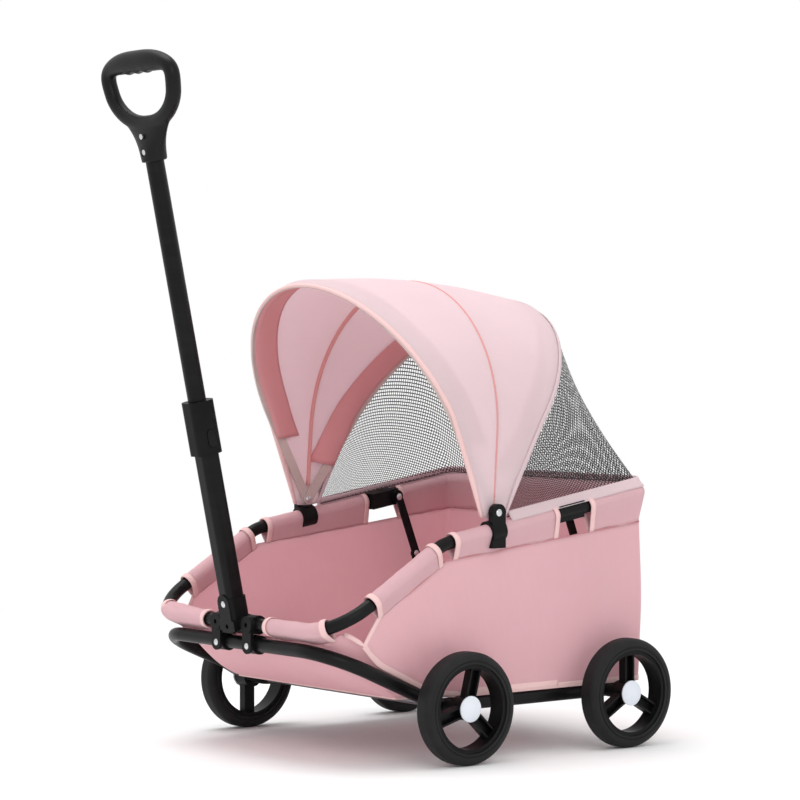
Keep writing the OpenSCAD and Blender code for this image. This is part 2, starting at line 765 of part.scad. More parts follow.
module grip() {
    color("#1c1c1e") on_tubes() difference() {
        union() {
            grip_loop();
            hull() {
                translate([0, 0, socket_s]) cylinder(h = 12, r = neck_r, $fn = 32);
                for (x = [-36, 36]) translate([x, 0, grip_mid - grip_bottom - 5]) sphere(r = limb_r + 0.3, $fn = 24);
            }
        }
        translate([0, 0, socket_s - 1]) cylinder(h = upper_tube_end - socket_s + 1.02, r = upper_tube_d / 2 + 0.02);
        for (z = screw_heights) across_y(0, -30, screw_face, z, 4.4);
    }
}

module grip_screws() {
    color("#c9ccd0") on_tubes() for (z = screw_heights)
        translate([0, screw_face, z]) rotate([90, 0, 0]) cylinder(h = 2, r = 3.7);
}

// ---- Wheels --------------------------------------------------------------------------

// Places a wheel whose outer face looks along +X; s mirrors it to the left
module at_wheel(s, y) {
    placed() side_of(s) translate([wheel_x, y, axle_z]) rotate([0, 90, 0]) children();
}

module tyre(s, y) {
    half = tyre_w / 2;
    color("#262627") at_wheel(s, y) rotate_extrude($fn = 96) difference() {
        union() {
            translate([rim_r, -half]) square([wheel_r - shoulder_r - rim_r, tyre_w]);
            translate([wheel_r - shoulder_r - 1, -half + shoulder_r]) square([shoulder_r + 1, tyre_w - 2 * shoulder_r]);
            for (z = [-half + shoulder_r, half - shoulder_r]) translate([wheel_r - shoulder_r, z]) circle(r = shoulder_r);
        }
        for (z = [-half, half]) translate([rim_r + 4, z]) circle(r = 1.3);
    }
}

// One channel-shaped spoke, open outwards
module spoke() {
    difference() {
        translate([boss_r - 3, -spoke_w / 2, -6]) cube([rim_r - 5 - boss_r + 3, spoke_w, 13]);
        translate([boss_r, -spoke_w / 2 + 2.8, -2]) cube([rim_r - 6 - boss_r - 2, spoke_w - 5.6, 10]);
    }
}

// Rim, three spokes and boss in one moulding; phase turns the spokes
module hub(s, y, phase) {
    half = tyre_w / 2;
    color("#2a2a2c") at_wheel(s, y) difference() {
        union() {
            rotate_extrude($fn = 96) {
                translate([rim_r - 6, -half + 2]) square([6 - 0.02, tyre_w - 4]);
            }
            for (k = [0 : 2]) rotate(phase + 120 * k) spoke();
            translate([0, 0, -half]) cylinder(h = half + boss_out, r = boss_r);
        }
        translate([0, 0, -half - 1]) cylinder(h = tyre_w + 2, r = axle_d / 2 + run_gap);
        translate([0, 0, nut_recess]) cylinder(h = tyre_w, r = 10);
    }
}

module cap(s, y) {
    color("#dfe2e6") at_wheel(s, y) translate([0, 0, boss_out]) {
        cylinder(h = 1.5, r = cap_r);
        translate([0, 0, 1.5]) rivet_head(cap_r, 3.5);
    }
}

module tyre_fl() tyre(-1, -axle_y);
module tyre_fr() tyre(1, -axle_y);
module tyre_rl() tyre(-1, axle_y);
module tyre_rr() tyre(1, axle_y);
module hub_fl() hub(-1, -axle_y, 0);
module hub_fr() hub(1, -axle_y, 46);
module hub_rl() hub(-1, axle_y, 60);
module hub_rr() hub(1, axle_y, 60);
module cap_fl() cap(-1, -axle_y);
module cap_fr() cap(1, -axle_y);
module cap_rl() cap(-1, axle_y);
module cap_rr() cap(1, axle_y);

chassis_tube();
rear_cross_bar();
front_axle();
rear_axle();
axle_spacers();
axle_nuts();
link_bracket_l();
link_bracket_r();
link_rivets();
rail_plugs();
rail_rivets();
floor_board();
basket_floor();
basket_walls();
stay_foot_l();
stay_foot_r();
stay_foot_pins();
ring_tube();
hinge_tube();
rim_sleeves();
canopy_bracket_l();
canopy_bracket_r();
canopy_pins();
stay_bracket_l();
stay_bracket_r();
stay_top_pins();
stay_upper_l();
stay_upper_r();
stay_lower_l();
stay_lower_r();
knee_rivet_l();
knee_rivet_r();
front_bow();
rear_bow();
canopy_rib();
canopy_fabric();
canopy_mesh();
handle_bracket();
handle_rivet();
handle_lower_tube();
handle_collar();
release_button();
handle_upper_tube();
grip();
grip_screws();
tyre_fl();
hub_fl();
cap_fl();
tyre_fr();
hub_fr();
cap_fr();
tyre_rl();
hub_rl();
cap_rl();
tyre_rr();
hub_rr();
cap_rr();
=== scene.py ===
"""Looks of the folding pet stroller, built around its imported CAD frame.

Lengths are in millimetres in the chassis frame of the CAD source (X right, Y to the rear, Z up,
Y = 0 midway between the axles) until place() turns them into metres in the row frame.
"""
import math

import bmesh
import bpy
import numpy as np
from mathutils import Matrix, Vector


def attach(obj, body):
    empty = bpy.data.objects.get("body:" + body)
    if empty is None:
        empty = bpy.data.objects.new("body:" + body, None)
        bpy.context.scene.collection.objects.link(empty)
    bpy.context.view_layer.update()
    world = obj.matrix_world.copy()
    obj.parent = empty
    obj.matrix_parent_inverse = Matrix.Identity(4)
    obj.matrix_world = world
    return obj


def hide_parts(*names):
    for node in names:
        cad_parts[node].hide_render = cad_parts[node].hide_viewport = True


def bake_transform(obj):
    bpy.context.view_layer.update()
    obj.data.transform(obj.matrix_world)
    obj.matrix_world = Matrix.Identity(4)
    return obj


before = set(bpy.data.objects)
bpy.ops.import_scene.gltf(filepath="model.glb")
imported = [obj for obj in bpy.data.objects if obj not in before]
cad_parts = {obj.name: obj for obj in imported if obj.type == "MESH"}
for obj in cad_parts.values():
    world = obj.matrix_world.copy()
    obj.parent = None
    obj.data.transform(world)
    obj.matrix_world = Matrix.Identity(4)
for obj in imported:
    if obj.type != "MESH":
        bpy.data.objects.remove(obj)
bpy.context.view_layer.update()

# ---- Sizes shared with the CAD source, in millimetres --------------------------------------------
ORIGIN_SHIFT = 145.6  # Y of the chassis frame's origin in the row frame
TUBE_R = 9.5  # chassis tube
RING_R = 9.0  # upper ring's tube
HINGE = (-336.0, 183.0)  # Y and Z of the axis on which the ring and the handle turn
KNUCKLE = (-155.0, 293.2)  # Y and Z at which the ring's sides level out
RING_X = 215.5
RING_REAR_Y = 207.0
RING_SLOPE = 0.165  # rise of the ring's sides per unit of length
CANOPY = (-66.0, 333.0)  # Y and Z of the bows' axis
BOW_LEG = 138.0
FRONT_LEAN = 27.5  # degrees forward
REAR_LEAN = 35.5  # degrees back
RIB_LEAN = 4.0
RIB_SEAM_R = 317.5  # reach of the rib's seam from the bows' axis
BOW_COVER = 1.6  # degrees of cloth that lie flat over each bow
FRONT_BOW_R = 213.5
REAR_BOW_R = 209.7
CLOTH_R = 214.2
BOARD_TOP = 90.4
FLOOR_Z = 86.4
HANDLE_LEAN = 11.9  # degrees forward
TUBES_Y = -5.0  # the handle's tubes stand in front of its hinge
GRIP_MID = 729.0  # height along the handle at which the grip's loop is half way up
GRIP_HALF = 76.1  # half width of the loop's centre line
GRIP_TOP = 39.8
GRIP_BOTTOM = 42.0
LIMB_R = 10.4  # radius of the loop's sides
BAR_SWELL = 5.0  # how much thicker its top bar is
SOCKET = 636.0  # where the grip's neck starts
NECK_LENGTH = 55.0
SCREW_FACE = -13.2
SCREW_HEIGHTS = (650.0, 671.0)

RAIL_X = 205
RAIL_Z = 76
NOSE_Z = 156
CLIMB_Y = -152  # where the chassis tube starts to climb to its nose
NOSE_Y = -334
RIGHT_RAIL = [(RAIL_X, NOSE_Y, NOSE_Z), (RAIL_X, CLIMB_Y, RAIL_Z), (RAIL_X, 198, RAIL_Z)]
CHASSIS_PATH = [(-x, y, z) for x, y, z in reversed(RIGHT_RAIL)] + RIGHT_RAIL
CHASSIS_BENDS = [0, 60, 68, 68, 60, 0]


def ring_z(y):
    """Height of the ring's centre line at a place along its side."""
    nose_slope = (KNUCKLE[1] - HINGE[1]) / (KNUCKLE[0] - HINGE[0])
    rear = KNUCKLE[1] + RING_SLOPE * (y - KNUCKLE[0])
    return np.where(y < KNUCKLE[0], HINGE[1] + nose_slope * (y - HINGE[0]), rear)


RING_REAR_Z = float(ring_z(np.array(RING_REAR_Y)))
RING_PATH = [
    (0, *HINGE), (RING_X, *HINGE), (RING_X, *KNUCKLE), (RING_X, RING_REAR_Y, RING_REAR_Z),
    (-RING_X, RING_REAR_Y, RING_REAR_Z), (-RING_X, *KNUCKLE), (-RING_X, *HINGE), (-1, *HINGE),
]
RING_BENDS = [0, 65, 60, 16, 16, 60, 65, 0]


def place(points):
    """Points of the chassis frame, in millimetres, as points of the row frame, in metres."""
    out = np.array(points, float)
    out[..., 1] += ORIGIN_SHIFT
    return out / 1000.0


def unit(v):
    """Vectors along the last axis, at length one."""
    return v / np.maximum(np.linalg.norm(v, axis=-1, keepdims=True), 1e-9)


def smooth(t):
    """A smooth step from 0 to 1."""
    t = np.clip(t, 0.0, 1.0)
    return t * t * (3 - 2 * t)


# ---- Materials -----------------------------------------------------------------------------------
def srgb(r, g, b):
    """A colour given as 0 to 255 screen values, as the linear colour that shaders use."""
    c = np.array([r, g, b]) / 255.0
    lin = np.where(c <= 0.04045, c / 12.92, ((c + 0.055) / 1.055) ** 2.4)
    return (*lin.tolist(), 1.0)


class Shader:
    """A Principled material with short calls to add and join nodes."""

    def __init__(self, name, roughness, metallic=0.0, **sockets):
        self.material = bpy.data.materials.new(name)
        self.material.use_nodes = True
        self.tree = self.material.node_tree
        self.bsdf = self.tree.nodes["Principled BSDF"]
        self.bsdf.inputs["Roughness"].default_value = roughness
        self.bsdf.inputs["Metallic"].default_value = metallic
        for socket, value in sockets.items():
            self.bsdf.inputs[socket.replace("_", " ")].default_value = value

    def node(self, kind, **values):
        """Adds a node. Keys name its settings and sockets, or number its sockets as i0, i1 and so on."""
        made = self.tree.nodes.new(kind)
        for key, value in values.items():
            if hasattr(made, key):
                setattr(made, key, value)
                continue
            numbered = key[0] == "i" and key[1:].isdigit()
            socket = int(key[1:]) if numbered else key.replace("_", " ")
            self.set(made.inputs[socket], value)
        return made

    def set(self, target, value):
        """Joins the target to a socket, or gives it a constant."""
        if isinstance(value, bpy.types.NodeSocket):
            self.tree.links.new(value, target)
        else:
            target.default_value = value

    def math(self, operation, a, b=0.0):
        return self.node("ShaderNodeMath", operation=operation, i0=a, i1=b).outputs[0]

    def coordinates(self, kind, scale=(1, 1, 1), turn=0.0):
        source = self.node("ShaderNodeTexCoord").outputs[kind]
        mapping = self.node("ShaderNodeMapping", Vector=source)
        mapping.inputs["Scale"].default_value = scale
        mapping.inputs["Rotation"].default_value = (0, 0, turn)
        return mapping.outputs[0]

    def noise(self, vector, scale, detail=3.0, roughness=0.55):
        made = self.node("ShaderNodeTexNoise", Vector=vector, Scale=scale, Detail=detail, Roughness=roughness)
        return made.outputs["Fac"]

    def bands(self, vector, pitch, direction):
        """Soft bands with that pitch in metres along one direction of the coordinates."""
        made = self.node("ShaderNodeTexWave", wave_type="BANDS", bands_direction=direction, Vector=vector)
        made.inputs["Scale"].default_value = 2 * math.pi / 20 / pitch
        return made.outputs["Fac"]

    def blend(self, factor, a, b):
        """A colour from a to b by the factor."""
        made = self.node("ShaderNodeMix", data_type="RGBA", clamp_factor=True)
        self.set(made.inputs[0], factor)
        self.set(made.inputs[6], a)
        self.set(made.inputs[7], b)
        return made.outputs[2]

    def spread(self, value, low, high, to_low=0.0, to_high=1.0):
        """Maps a value's range low..high to to_low..to_high."""
        made = self.node("ShaderNodeMapRange", Value=value)
        for i, x in zip((1, 2, 3, 4), (low, high, to_low, to_high)):
            made.inputs[i].default_value = x
        return made.outputs[0]

    def bump(self, height, distance, strength=1.0, normal=None):
        made = self.node("ShaderNodeBump", Height=height, Strength=strength, Distance=distance)
        if normal is not None:
            self.set(made.inputs["Normal"], normal)
        return made.outputs[0]

    def finish(self, colour=None, roughness=None, normal=None, alpha=None):
        """Joins what is given to the Principled shader, and returns the material."""
        wanted = {"Base Color": colour, "Roughness": roughness, "Normal": normal, "Alpha": alpha}
        for socket, value in wanted.items():
            if value is not None:
                self.set(self.bsdf.inputs[socket], value)
        return self.material

    def mix_in(self, factor, shader):
        """Mixes another shader's output into the Principled one before the surface."""
        mix = self.node("ShaderNodeMixShader")
        self.set(mix.inputs[0], factor)
        self.set(mix.inputs[1], self.bsdf.outputs[0])
        self.set(mix.inputs[2], shader.outputs[0])
        self.set(self.tree.nodes["Material Output"].inputs["Surface"], mix.outputs[0])


def cloth(name, light, dark, pitch=0.0011, sheen=0.2, through=0.3):
    """Plain-woven polyester: crossing threads, a soft bloom of colour, and puckers from wear."""
    s = Shader(name, 0.78, Sheen_Weight=sheen, Sheen_Roughness=0.5, Specular_IOR_Level=0.3)
    s.bsdf.inputs["Sheen Tint"].default_value = light
    uv = s.coordinates("UV")
    weft, warp = s.bands(uv, pitch, "X"), s.bands(uv, pitch, "Y")
    weave = s.math("MULTIPLY", weft, warp)
    slub = s.noise(s.coordinates("UV", (260, 18, 1)), 1.0, 2.0)
    bloom = s.noise(s.coordinates("Object"), 7.0, 4.0)
    wrinkle = s.noise(s.coordinates("Object"), 26.0, 3.0)
    tone = s.math("ADD", s.math("MULTIPLY", weave, 0.35), s.math("MULTIPLY", slub, 0.2))
    tone = s.math("ADD", tone, s.math("MULTIPLY", bloom, 0.45))
    colour = s.blend(s.spread(tone, 0.25, 0.75), dark, light)
    rough = s.spread(slub, 0.2, 0.8, 0.7, 0.86)
    normal = s.bump(wrinkle, 0.0006, 0.6)
    normal = s.bump(weave, pitch * 0.16, 0.5, normal)
    s.finish(colour, rough, normal)
    s.mix_in(through, s.node("ShaderNodeBsdfTranslucent", Color=colour, Normal=normal))
    return s.material


def net(name, pitch=0.0038, hole=0.8):
    """Black see-through mesh: two sets of slanting threads with open cells between them."""
    s = Shader(name, 0.6, Specular_IOR_Level=0.3)
    uv = s.coordinates("UV", turn=math.radians(38))
    first, second = s.bands(uv, pitch, "X"), s.bands(uv, pitch * 1.15, "Y")
    thread = s.math("MAXIMUM", first, second)
    open_cell = s.math("GREATER_THAN", thread, hole)
    colour = s.blend(s.noise(uv, 90.0), srgb(26, 26, 28), srgb(52, 52, 54))
    normal = s.bump(thread, 0.0003, 0.6)
    return s.finish(colour, None, normal, open_cell)


def moulded(name, light, dark, roughness=0.45, grain=900.0, depth=0.00006, shine=0.13):
    """Moulded plastic: fine leather-like grain, faint flow marks, and dull and shiny patches."""
    s = Shader(name, roughness, Specular_IOR_Level=shine)
    at = s.coordinates("Object")
    fine = s.noise(at, grain, 2.0)
    flow = s.noise(at, 22.0, 4.0)
    colour = s.blend(s.spread(flow, 0.3, 0.7), dark, light)
    rough = s.spread(flow, 0.3, 0.7, roughness - 0.07, roughness + 0.09)
    return s.finish(colour, rough, s.bump(fine, depth, 0.6))


def coated(name, light, dark, roughness=0.33):
    """Powder-coated tube: slight orange peel under a satin coat, and a few duller scuffs."""
    s = Shader(name, roughness, Coat_Weight=0.05, Coat_Roughness=0.2, Specular_IOR_Level=0.15)
    at = s.coordinates("Object")
    peel = s.noise(at, 520.0, 2.0)
    scuff = s.noise(s.coordinates("Object", (9, 9, 60)), 1.0, 5.0)
    colour = s.blend(s.spread(scuff, 0.45, 0.75), dark, light)
    rough = s.spread(scuff, 0.4, 0.75, roughness, roughness + 0.14)
    return s.finish(colour, rough, s.bump(peel, 0.00005, 0.5))


def steel(name, light, dark, roughness=0.28):
    """Plated steel with fine turning marks."""
    s = Shader(name, roughness, 1.0)
    at = s.coordinates("Object")
    marks = s.noise(at, 1400.0, 2.0)
    tarnish = s.noise(at, 180.0, 3.0)
    colour = s.blend(tarnish, dark, light)
    rough = s.spread(tarnish, 0.2, 0.8, roughness - 0.08, roughness + 0.12)
    return s.finish(colour, rough, s.bump(marks, 0.00003, 0.5))


PINK = cloth("basket_cloth", srgb(247, 213, 218), srgb(239, 201, 207), through=0.42)
FLOOR_PINK = cloth("floor_cloth", srgb(226, 186, 192), srgb(214, 172, 179), through=0.0)
PINK_LINING = cloth("pocket_cloth", srgb(246, 186, 189), srgb(234, 169, 172), through=0.3)
SEAM_PINK = cloth("seam_fold", srgb(226, 166, 172), srgb(212, 148, 155), through=0.2)
# Painted light: the hood wears a paler copy of the pink cloth, with the overhead light on its top painted
# into the colour. The hood's rear binding and the net's hem tape wear it too.
PAINTED_LIT_PINK = cloth("canopy_cloth", srgb(247, 231, 234), srgb(241, 222, 226), through=0.42)
TAPE = cloth("binding_tape", srgb(252, 220, 218), srgb(246, 208, 207), pitch=0.0009, through=0.2)
CORAL = cloth("seam_piping", srgb(240, 176, 174), srgb(228, 160, 158), pitch=0.0009, through=0.2)
NET = net("canopy_net")
NET_TAPE = cloth("net_tape", srgb(120, 96, 98), srgb(84, 70, 72), pitch=0.0009)
FRAME_COAT = coated("frame_coat", srgb(18, 18, 19), srgb(9, 9, 10))
STAY_COAT = coated("stay_coat", srgb(18, 18, 19), srgb(9, 9, 10), 0.38)
BLACK_PLASTIC = moulded("black_plastic", srgb(20, 20, 21), srgb(11, 11, 12))
GRIP_PLASTIC = moulded("grip_plastic", srgb(24, 24, 25), srgb(14, 14, 15), 0.4, 600.0, 0.0001, 0.17)
WHEEL_PLASTIC = moulded("wheel_plastic", srgb(19, 19, 20), srgb(10, 10, 11), 0.38)
BUTTON_PLASTIC = moulded("button_plastic", srgb(24, 24, 26), srgb(14, 14, 15), 0.35)
CAP_PLASTIC = moulded("cap_plastic", srgb(226, 230, 237), srgb(212, 217, 226), 0.35, shine=0.5)
BOARD_PLASTIC = moulded("board_plastic", srgb(205, 160, 168), srgb(190, 145, 153), 0.55)
STRIP_PLASTIC = moulded("strip_plastic", srgb(206, 190, 186), srgb(190, 172, 168), 0.5)
TYRE_RUBBER = moulded("tyre_rubber", srgb(40, 40, 41), srgb(28, 28, 29), 0.55, 700.0, 0.00012)
BRIGHT_STEEL = steel("bright_steel", srgb(225, 226, 229), srgb(186, 188, 192))
DARK_STEEL = steel("dark_steel", srgb(150, 152, 156), srgb(110, 112, 116), 0.36)


# ---- Mesh building -------------------------------------------------------------------------------
def mesh_object(name, vertices, faces, material, uvs=None):
    """A smooth-shaded mesh object from points in the row frame."""
    mesh = bpy.data.meshes.new(name)
    mesh.from_pydata([tuple(v) for v in vertices], [], [tuple(f) for f in faces])
    mesh.materials.append(material)
    if uvs is not None:
        layer = mesh.uv_layers.new(name="flat")
        loops = np.array([loop.vertex_index for loop in mesh.loops])
        layer.data.foreach_set("uv", np.asarray(uvs, np.float32)[loops].ravel())
    mesh.shade_smooth()
    piece = bpy.data.objects.new(name, mesh)
    bpy.context.scene.collection.objects.link(piece)
    return piece


def lengths_along(grid, axis):
    """Mean distance along one axis of a grid of points, from its first row."""
    steps = np.linalg.norm(np.diff(grid, axis=axis), axis=2).mean(axis=1 - axis)
    return np.concatenate([[0.0], np.cumsum(steps)])


def flat_map(points):
    """Flat coordinates of a grid of points, in metres along its rows and columns."""
    u, v = lengths_along(points, 0), lengths_along(points, 1)
    return np.stack(np.meshgrid(u, v, indexing="ij"), axis=2).reshape(-1, 2)


def grid_object(name, grid, material, thickness=0.0, loop=False, offset=-1.0):
    """A sheet through a grid of points in the chassis frame. loop joins the last row to the first."""
    points = place(grid)
    if loop:
        points = np.concatenate([points, points[:1]])
    rows, columns = points.shape[:2]
    index = np.arange(rows * columns).reshape(rows, columns)
    faces = np.stack([index[:-1, :-1], index[1:, :-1], index[1:, 1:], index[:-1, 1:]], axis=2)
    piece = mesh_object(name, points.reshape(-1, 3), faces.reshape(-1, 4), material, flat_map(points))
    if loop:
        weld(piece)
    if thickness:
        solid = piece.modifiers.new("thickness", "SOLIDIFY")
        solid.thickness = thickness / 1000.0
        solid.offset = offset
    return piece


def weld(piece):
    """Joins vertices that lie on each other, and keeps the flat map."""
    work = bmesh.new()
    work.from_mesh(piece.data)
    bmesh.ops.remove_doubles(work, verts=work.verts, dist=1e-6)
    work.to_mesh(piece.data)
    work.free()


def bent_path(points, radii, step=3.0):
    """A dense line along a path whose corners are rounded."""
    p = [np.array(q, float) for q in points]
    line = [p[0]]
    for i in range(1, len(p) - 1):
        u, v = unit(p[i] - p[i - 1]), unit(p[i + 1] - p[i])
        turn = math.acos(float(np.clip(u @ v, -1, 1)))
        normal = unit(v - (u @ v) * u)
        centre = p[i] - radii[i] * math.tan(turn / 2) * u + radii[i] * normal
        for a in np.linspace(0, turn, max(3, int(turn * radii[i] / step) + 2)):
            line.append(centre + radii[i] * (math.sin(a) * u - math.cos(a) * normal))
    line.append(p[-1])
    dense = [line[0]]
    for a, b in zip(line[:-1], line[1:]):
        pieces = max(1, int(np.linalg.norm(b - a) / (4 * step)))
        dense += [a + (b - a) * k / pieces for k in range(1, pieces + 1)]
    return np.array(dense)


def tangents(line, closed=False):
    """Unit tangents of a line of points."""
    if closed:
        return unit(np.roll(line, -1, axis=0) - np.roll(line, 1, axis=0))
    return unit(np.gradient(line, axis=0))


def cross_frames(line, down=(0, 0, -1.0), closed=False):
    """(side, down) unit vectors square to a line at each of its points."""
    t = tangents(line, closed)
    d = np.array(down) * np.ones_like(t)
    d = unit(d - (d * t).sum(axis=1, keepdims=True) * t)
    return np.cross(t, d), d


def sweep(name, line, profile, material, closed=False, caps=True, down=(0, 0, -1.0)):
    """A closed profile, given as (side, down) offsets for each point of the line, swept along it."""
    side, low = cross_frames(line, down, closed)
    profile = np.asarray(profile, float)
    if profile.ndim == 2:
        profile = np.repeat(profile[None], len(line), axis=0)
    points = line[:, None] + profile[..., :1] * side[:, None] + profile[..., 1:] * low[:, None]
    rows, columns = points.shape[:2]
    index = np.arange(rows * columns).reshape(rows, columns)
    here = index if closed else index[:-1]
    after = np.roll(index, -1, axis=0) if closed else index[1:]
    quads = np.stack([here, after, np.roll(after, -1, axis=1), np.roll(here, -1, axis=1)], axis=2)
    faces = [tuple(q) for q in quads.reshape(-1, 4)]
    if caps and not closed:
        faces += [tuple(index[0]), tuple(index[-1][::-1])]
    placed = place(points)
    return mesh_object(name, placed.reshape(-1, 3), faces, material, flat_map(placed))


def circle(radius, sides=32, squash=1.0):
    """A round or oval profile."""
    a = np.linspace(0, 2 * math.pi, sides, endpoint=False)
    return np.stack([radius * np.cos(a), -radius * squash * np.sin(a)], axis=1)


def ribbon_profile(width, height, sides=16):
    """A flat oval profile with full, round edges."""
    a = np.linspace(0, 2 * math.pi, sides, endpoint=False)
    return np.stack(
        [width / 2 * np.sign(np.cos(a)) * np.abs(np.cos(a)) ** 0.6, -height / 2 * np.sin(a)], axis=1
    )


def smooth_by_angle(piece, degrees=38):
    """Smooth shading that keeps the edges of a CAD part crisp."""
    piece.data.shade_smooth()
    piece.data.set_sharp_from_angle(angle=math.radians(degrees))


def soften(piece, width, segments=2, degrees=40):
    """Rounds the sharp edges of a CAD part for the picture."""
    bevel = piece.modifiers.new("edge", "BEVEL")
    bevel.width = width / 1000.0
    bevel.segments = segments
    bevel.limit_method = "ANGLE"
    bevel.angle_limit = math.radians(degrees)
    bevel.harden_normals = False


# ---- Frame tubes ---------------------------------------------------------------------------------
def build_frame_tubes():
    """Smooth stand-ins for the chassis tube and for the upper ring with its hinge tube."""
    chassis = sweep("chassis_frame", bent_path(CHASSIS_PATH, CHASSIS_BENDS), circle(TUBE_R), FRAME_COAT)
    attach(chassis, "chassis")
    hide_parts("chassis_tube")
    line = bent_path(RING_PATH, RING_BENDS)
    ring = sweep("ring_frame", line[:-1], circle(RING_R), FRAME_COAT, closed=True, caps=False)
    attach(ring, "ring")
    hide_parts("ring_tube", "hinge_tube")


# ---- Basket --------------------------------------------------------------------------------------
SIDES = ((1, "r"), (-1, "l"))
ARC = 16  # points round a corner
SIDE = 64  # points along a side
FRONT_HALF = 26  # points along half the front or the rear
WALL_X = 213.0  # half width of the walls' foot
FOOT_FRONT_Y = -209.0
REAR_Y = 208.0
FOOT_CORNERS = (24.0, 9.0)  # front and rear corner radii of the foot
NOTCH_DEPTH = 22.0
NOTCH_LIFT = 9.0  # how far the seam rises beside the notch
NOTCH_TURN = 0.76  # where the notch lies along the front corner's quarter turn


def floor_half(y):
    """Half width of the floor: narrower where the chassis tube climbs beside it."""
    front = 181 + 9 * (y + 209) / 51
    middle = 190 + 23 * (y + 158) / 40
    return np.where(y < -158, front, np.where(y < -118, middle, WALL_X))


def half_outline(width, front_y, rear_y, front_r, rear_r):
    """Right half of an outline with round corners, from the front's middle to the rear's middle."""
    quarter = np.linspace(0, math.pi / 2, ARC)[1:-1]
    front_x, front_top = width - front_r, front_y + front_r
    rear_x, rear_top = width - rear_r, rear_y - rear_r
    front = [(x, front_y) for x in np.linspace(0, front_x, FRONT_HALF)]
    corner = [(front_x + front_r * math.sin(a), front_top - front_r * math.cos(a)) for a in quarter]
    side = [(width, y) for y in np.linspace(front_top, rear_top, SIDE)]
    back = [(rear_x + rear_r * math.cos(a), rear_top + rear_r * math.sin(a)) for a in quarter]
    rear = [(x, rear_y) for x in np.linspace(rear_x, 0, FRONT_HALF)]
    return np.array(front + corner + side + back + rear)


def both_halves(half):
    """A half outline and its mirror image as one closed loop."""
    mirrored = half[-2:0:-1] * np.array([-1, 1])
    return np.concatenate([half, mirrored])


def seam_drop(y):
    """How far the seam under the sleeves lies below the ring's centre line."""
    side = 24 + (y + 141) / 348 * 18
    return np.where(y < KNUCKLE[0], 27.0, side)


def notch_column():
    """The column of the basket's grid where the right front corner's notch lies."""
    return int(round(FRONT_HALF - 1 + NOTCH_TURN * (ARC - 1)))


def corner_bump(count, width):
    """1 at the notch of each front corner of the loop of columns, fading to 0 beside it."""
    k = np.arange(count)
    near = np.minimum(np.abs(k - notch_column()), np.abs(count - k - notch_column()))
    return np.clip(1 - near / width, 0, 1)


def basket_grid(rows=30):
    """The basket's walls as a grid: columns round the basket, rows from the floor up to the seam."""
    top_half = half_outline(RING_X + 1.0, -321.0, REAR_Y, 62.0, 12.0)
    low_half = half_outline(WALL_X, FOOT_FRONT_Y, REAR_Y, *FOOT_CORNERS)
    edge = floor_half(low_half[:, 1])
    low_half[:, 0] = np.minimum(low_half[:, 0], edge)
    top, low = both_halves(top_half), both_halves(low_half)
    count = len(top)
    bump = smooth(corner_bump(count, 11.0))
    notch = corner_bump(count, 5.0) ** 1.3
    lift = NOTCH_LIFT * smooth(corner_bump(count, 10.0) * 1.4)
    seam_z = ring_z(np.maximum(top[:, 1], -320.0)) - seam_drop(top[:, 1])
    top3 = np.column_stack([top, seam_z + lift - (NOTCH_DEPTH + NOTCH_LIFT) * notch])
    low3 = np.column_stack([low, np.full(count, FLOOR_Z + 1.0)])
    v = np.linspace(0, 1, rows)
    grid = low3[:, None] * (1 - v)[None, :, None] + top3[:, None] * v[None, :, None]
    around = unit(np.roll(low3, -1, axis=0) - np.roll(low3, 1, axis=0))
    outward = unit(np.cross(around, np.array([0, 0, 1.0])))
    rise = unit(top3 - low3)
    face = unit(np.cross(around, rise))
    face = np.where((face * outward).sum(axis=1, keepdims=True) < 0, -face, face)
    k = np.arange(count)[:, None]
    middle = np.sin(math.pi * v)[None]
    is_front = smooth((-150 - top[:, 1]) / 120)
    puff = (2.6 + 7.0 * is_front)[:, None] * middle ** 0.8
    tuck = 5.0 * bump[:, None] * middle
    ripple = 0.9 * np.sin(k * 0.55) * (v[None] ** 3) + 0.6 * np.sin(k * 0.23 + 1.3) * middle
    folds = 0.5 * np.sin(k * 0.31 + 9 * v[None]) * middle
    return grid + (puff - tuck + ripple + folds)[..., None] * face[:, None]


def corner_seam(grid, side):
    """The seam from a corner's notch down along the climbing chassis tube to the floor's edge."""
    count = len(grid)
    line = []
    for k in range(notch_column(), notch_column() + 44):
        column = grid[side * k % count]
        y, z = column[:, 1], column[:, 2]
        climb = np.interp(y, [NOSE_Y, CLIMB_Y, 300], [NOSE_Z, RAIL_Z, RAIL_Z]) + TUBE_R + 7.0
        above = z - climb
        if above[0] > 0 or above[-1] < 0:
            continue
        row = int(np.argmax(above > 0))
        share = -above[row - 1] / (above[row] - above[row - 1])
        line.append(column[row - 1] + share * (column[row] - column[row - 1]))
    start = grid[side * notch_column() % count][-1]
    dense, _ = even_line(np.array([start] + line), 5.0)
    for _ in range(6):
        dense[1:-1] = (dense[:-2] + 2 * dense[1:-1] + dense[2:]) / 4
    return dense


def blend_walls(piece):
    """A basket piece with its placement baked into its mesh."""
    tilt = math.radians(20)
    direction = np.array([0.0, -math.sin(tilt), math.cos(tilt)])
    start, end = place(direction * 118.0), place(direction * 243.0)
    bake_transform(piece)


def build_basket():
    """Fabric walls, their bindings, the floor and the mat."""
    grid = basket_grid()
    walls = grid_object("basket_walls_cloth", grid, PINK, 1.0, loop=True)
    blend_walls(walls)
    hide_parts("basket_walls")

    foot = grid[:, 0] + np.array([0, 0, 2.0])
    hem = sweep("basket_foot_binding", foot, ribbon_profile(2.4, 8.0), TAPE, closed=True)
    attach(hem, "chassis")

    rim = sweep("basket_rim_seam", grid[:, -1], ribbon_profile(1.8, 1.6), SEAM_PINK, closed=True)
    blend_walls(rim)
    for side, tag in SIDES:
        bind_corner(grid, side, tag)
    build_floor()
    build_mat()


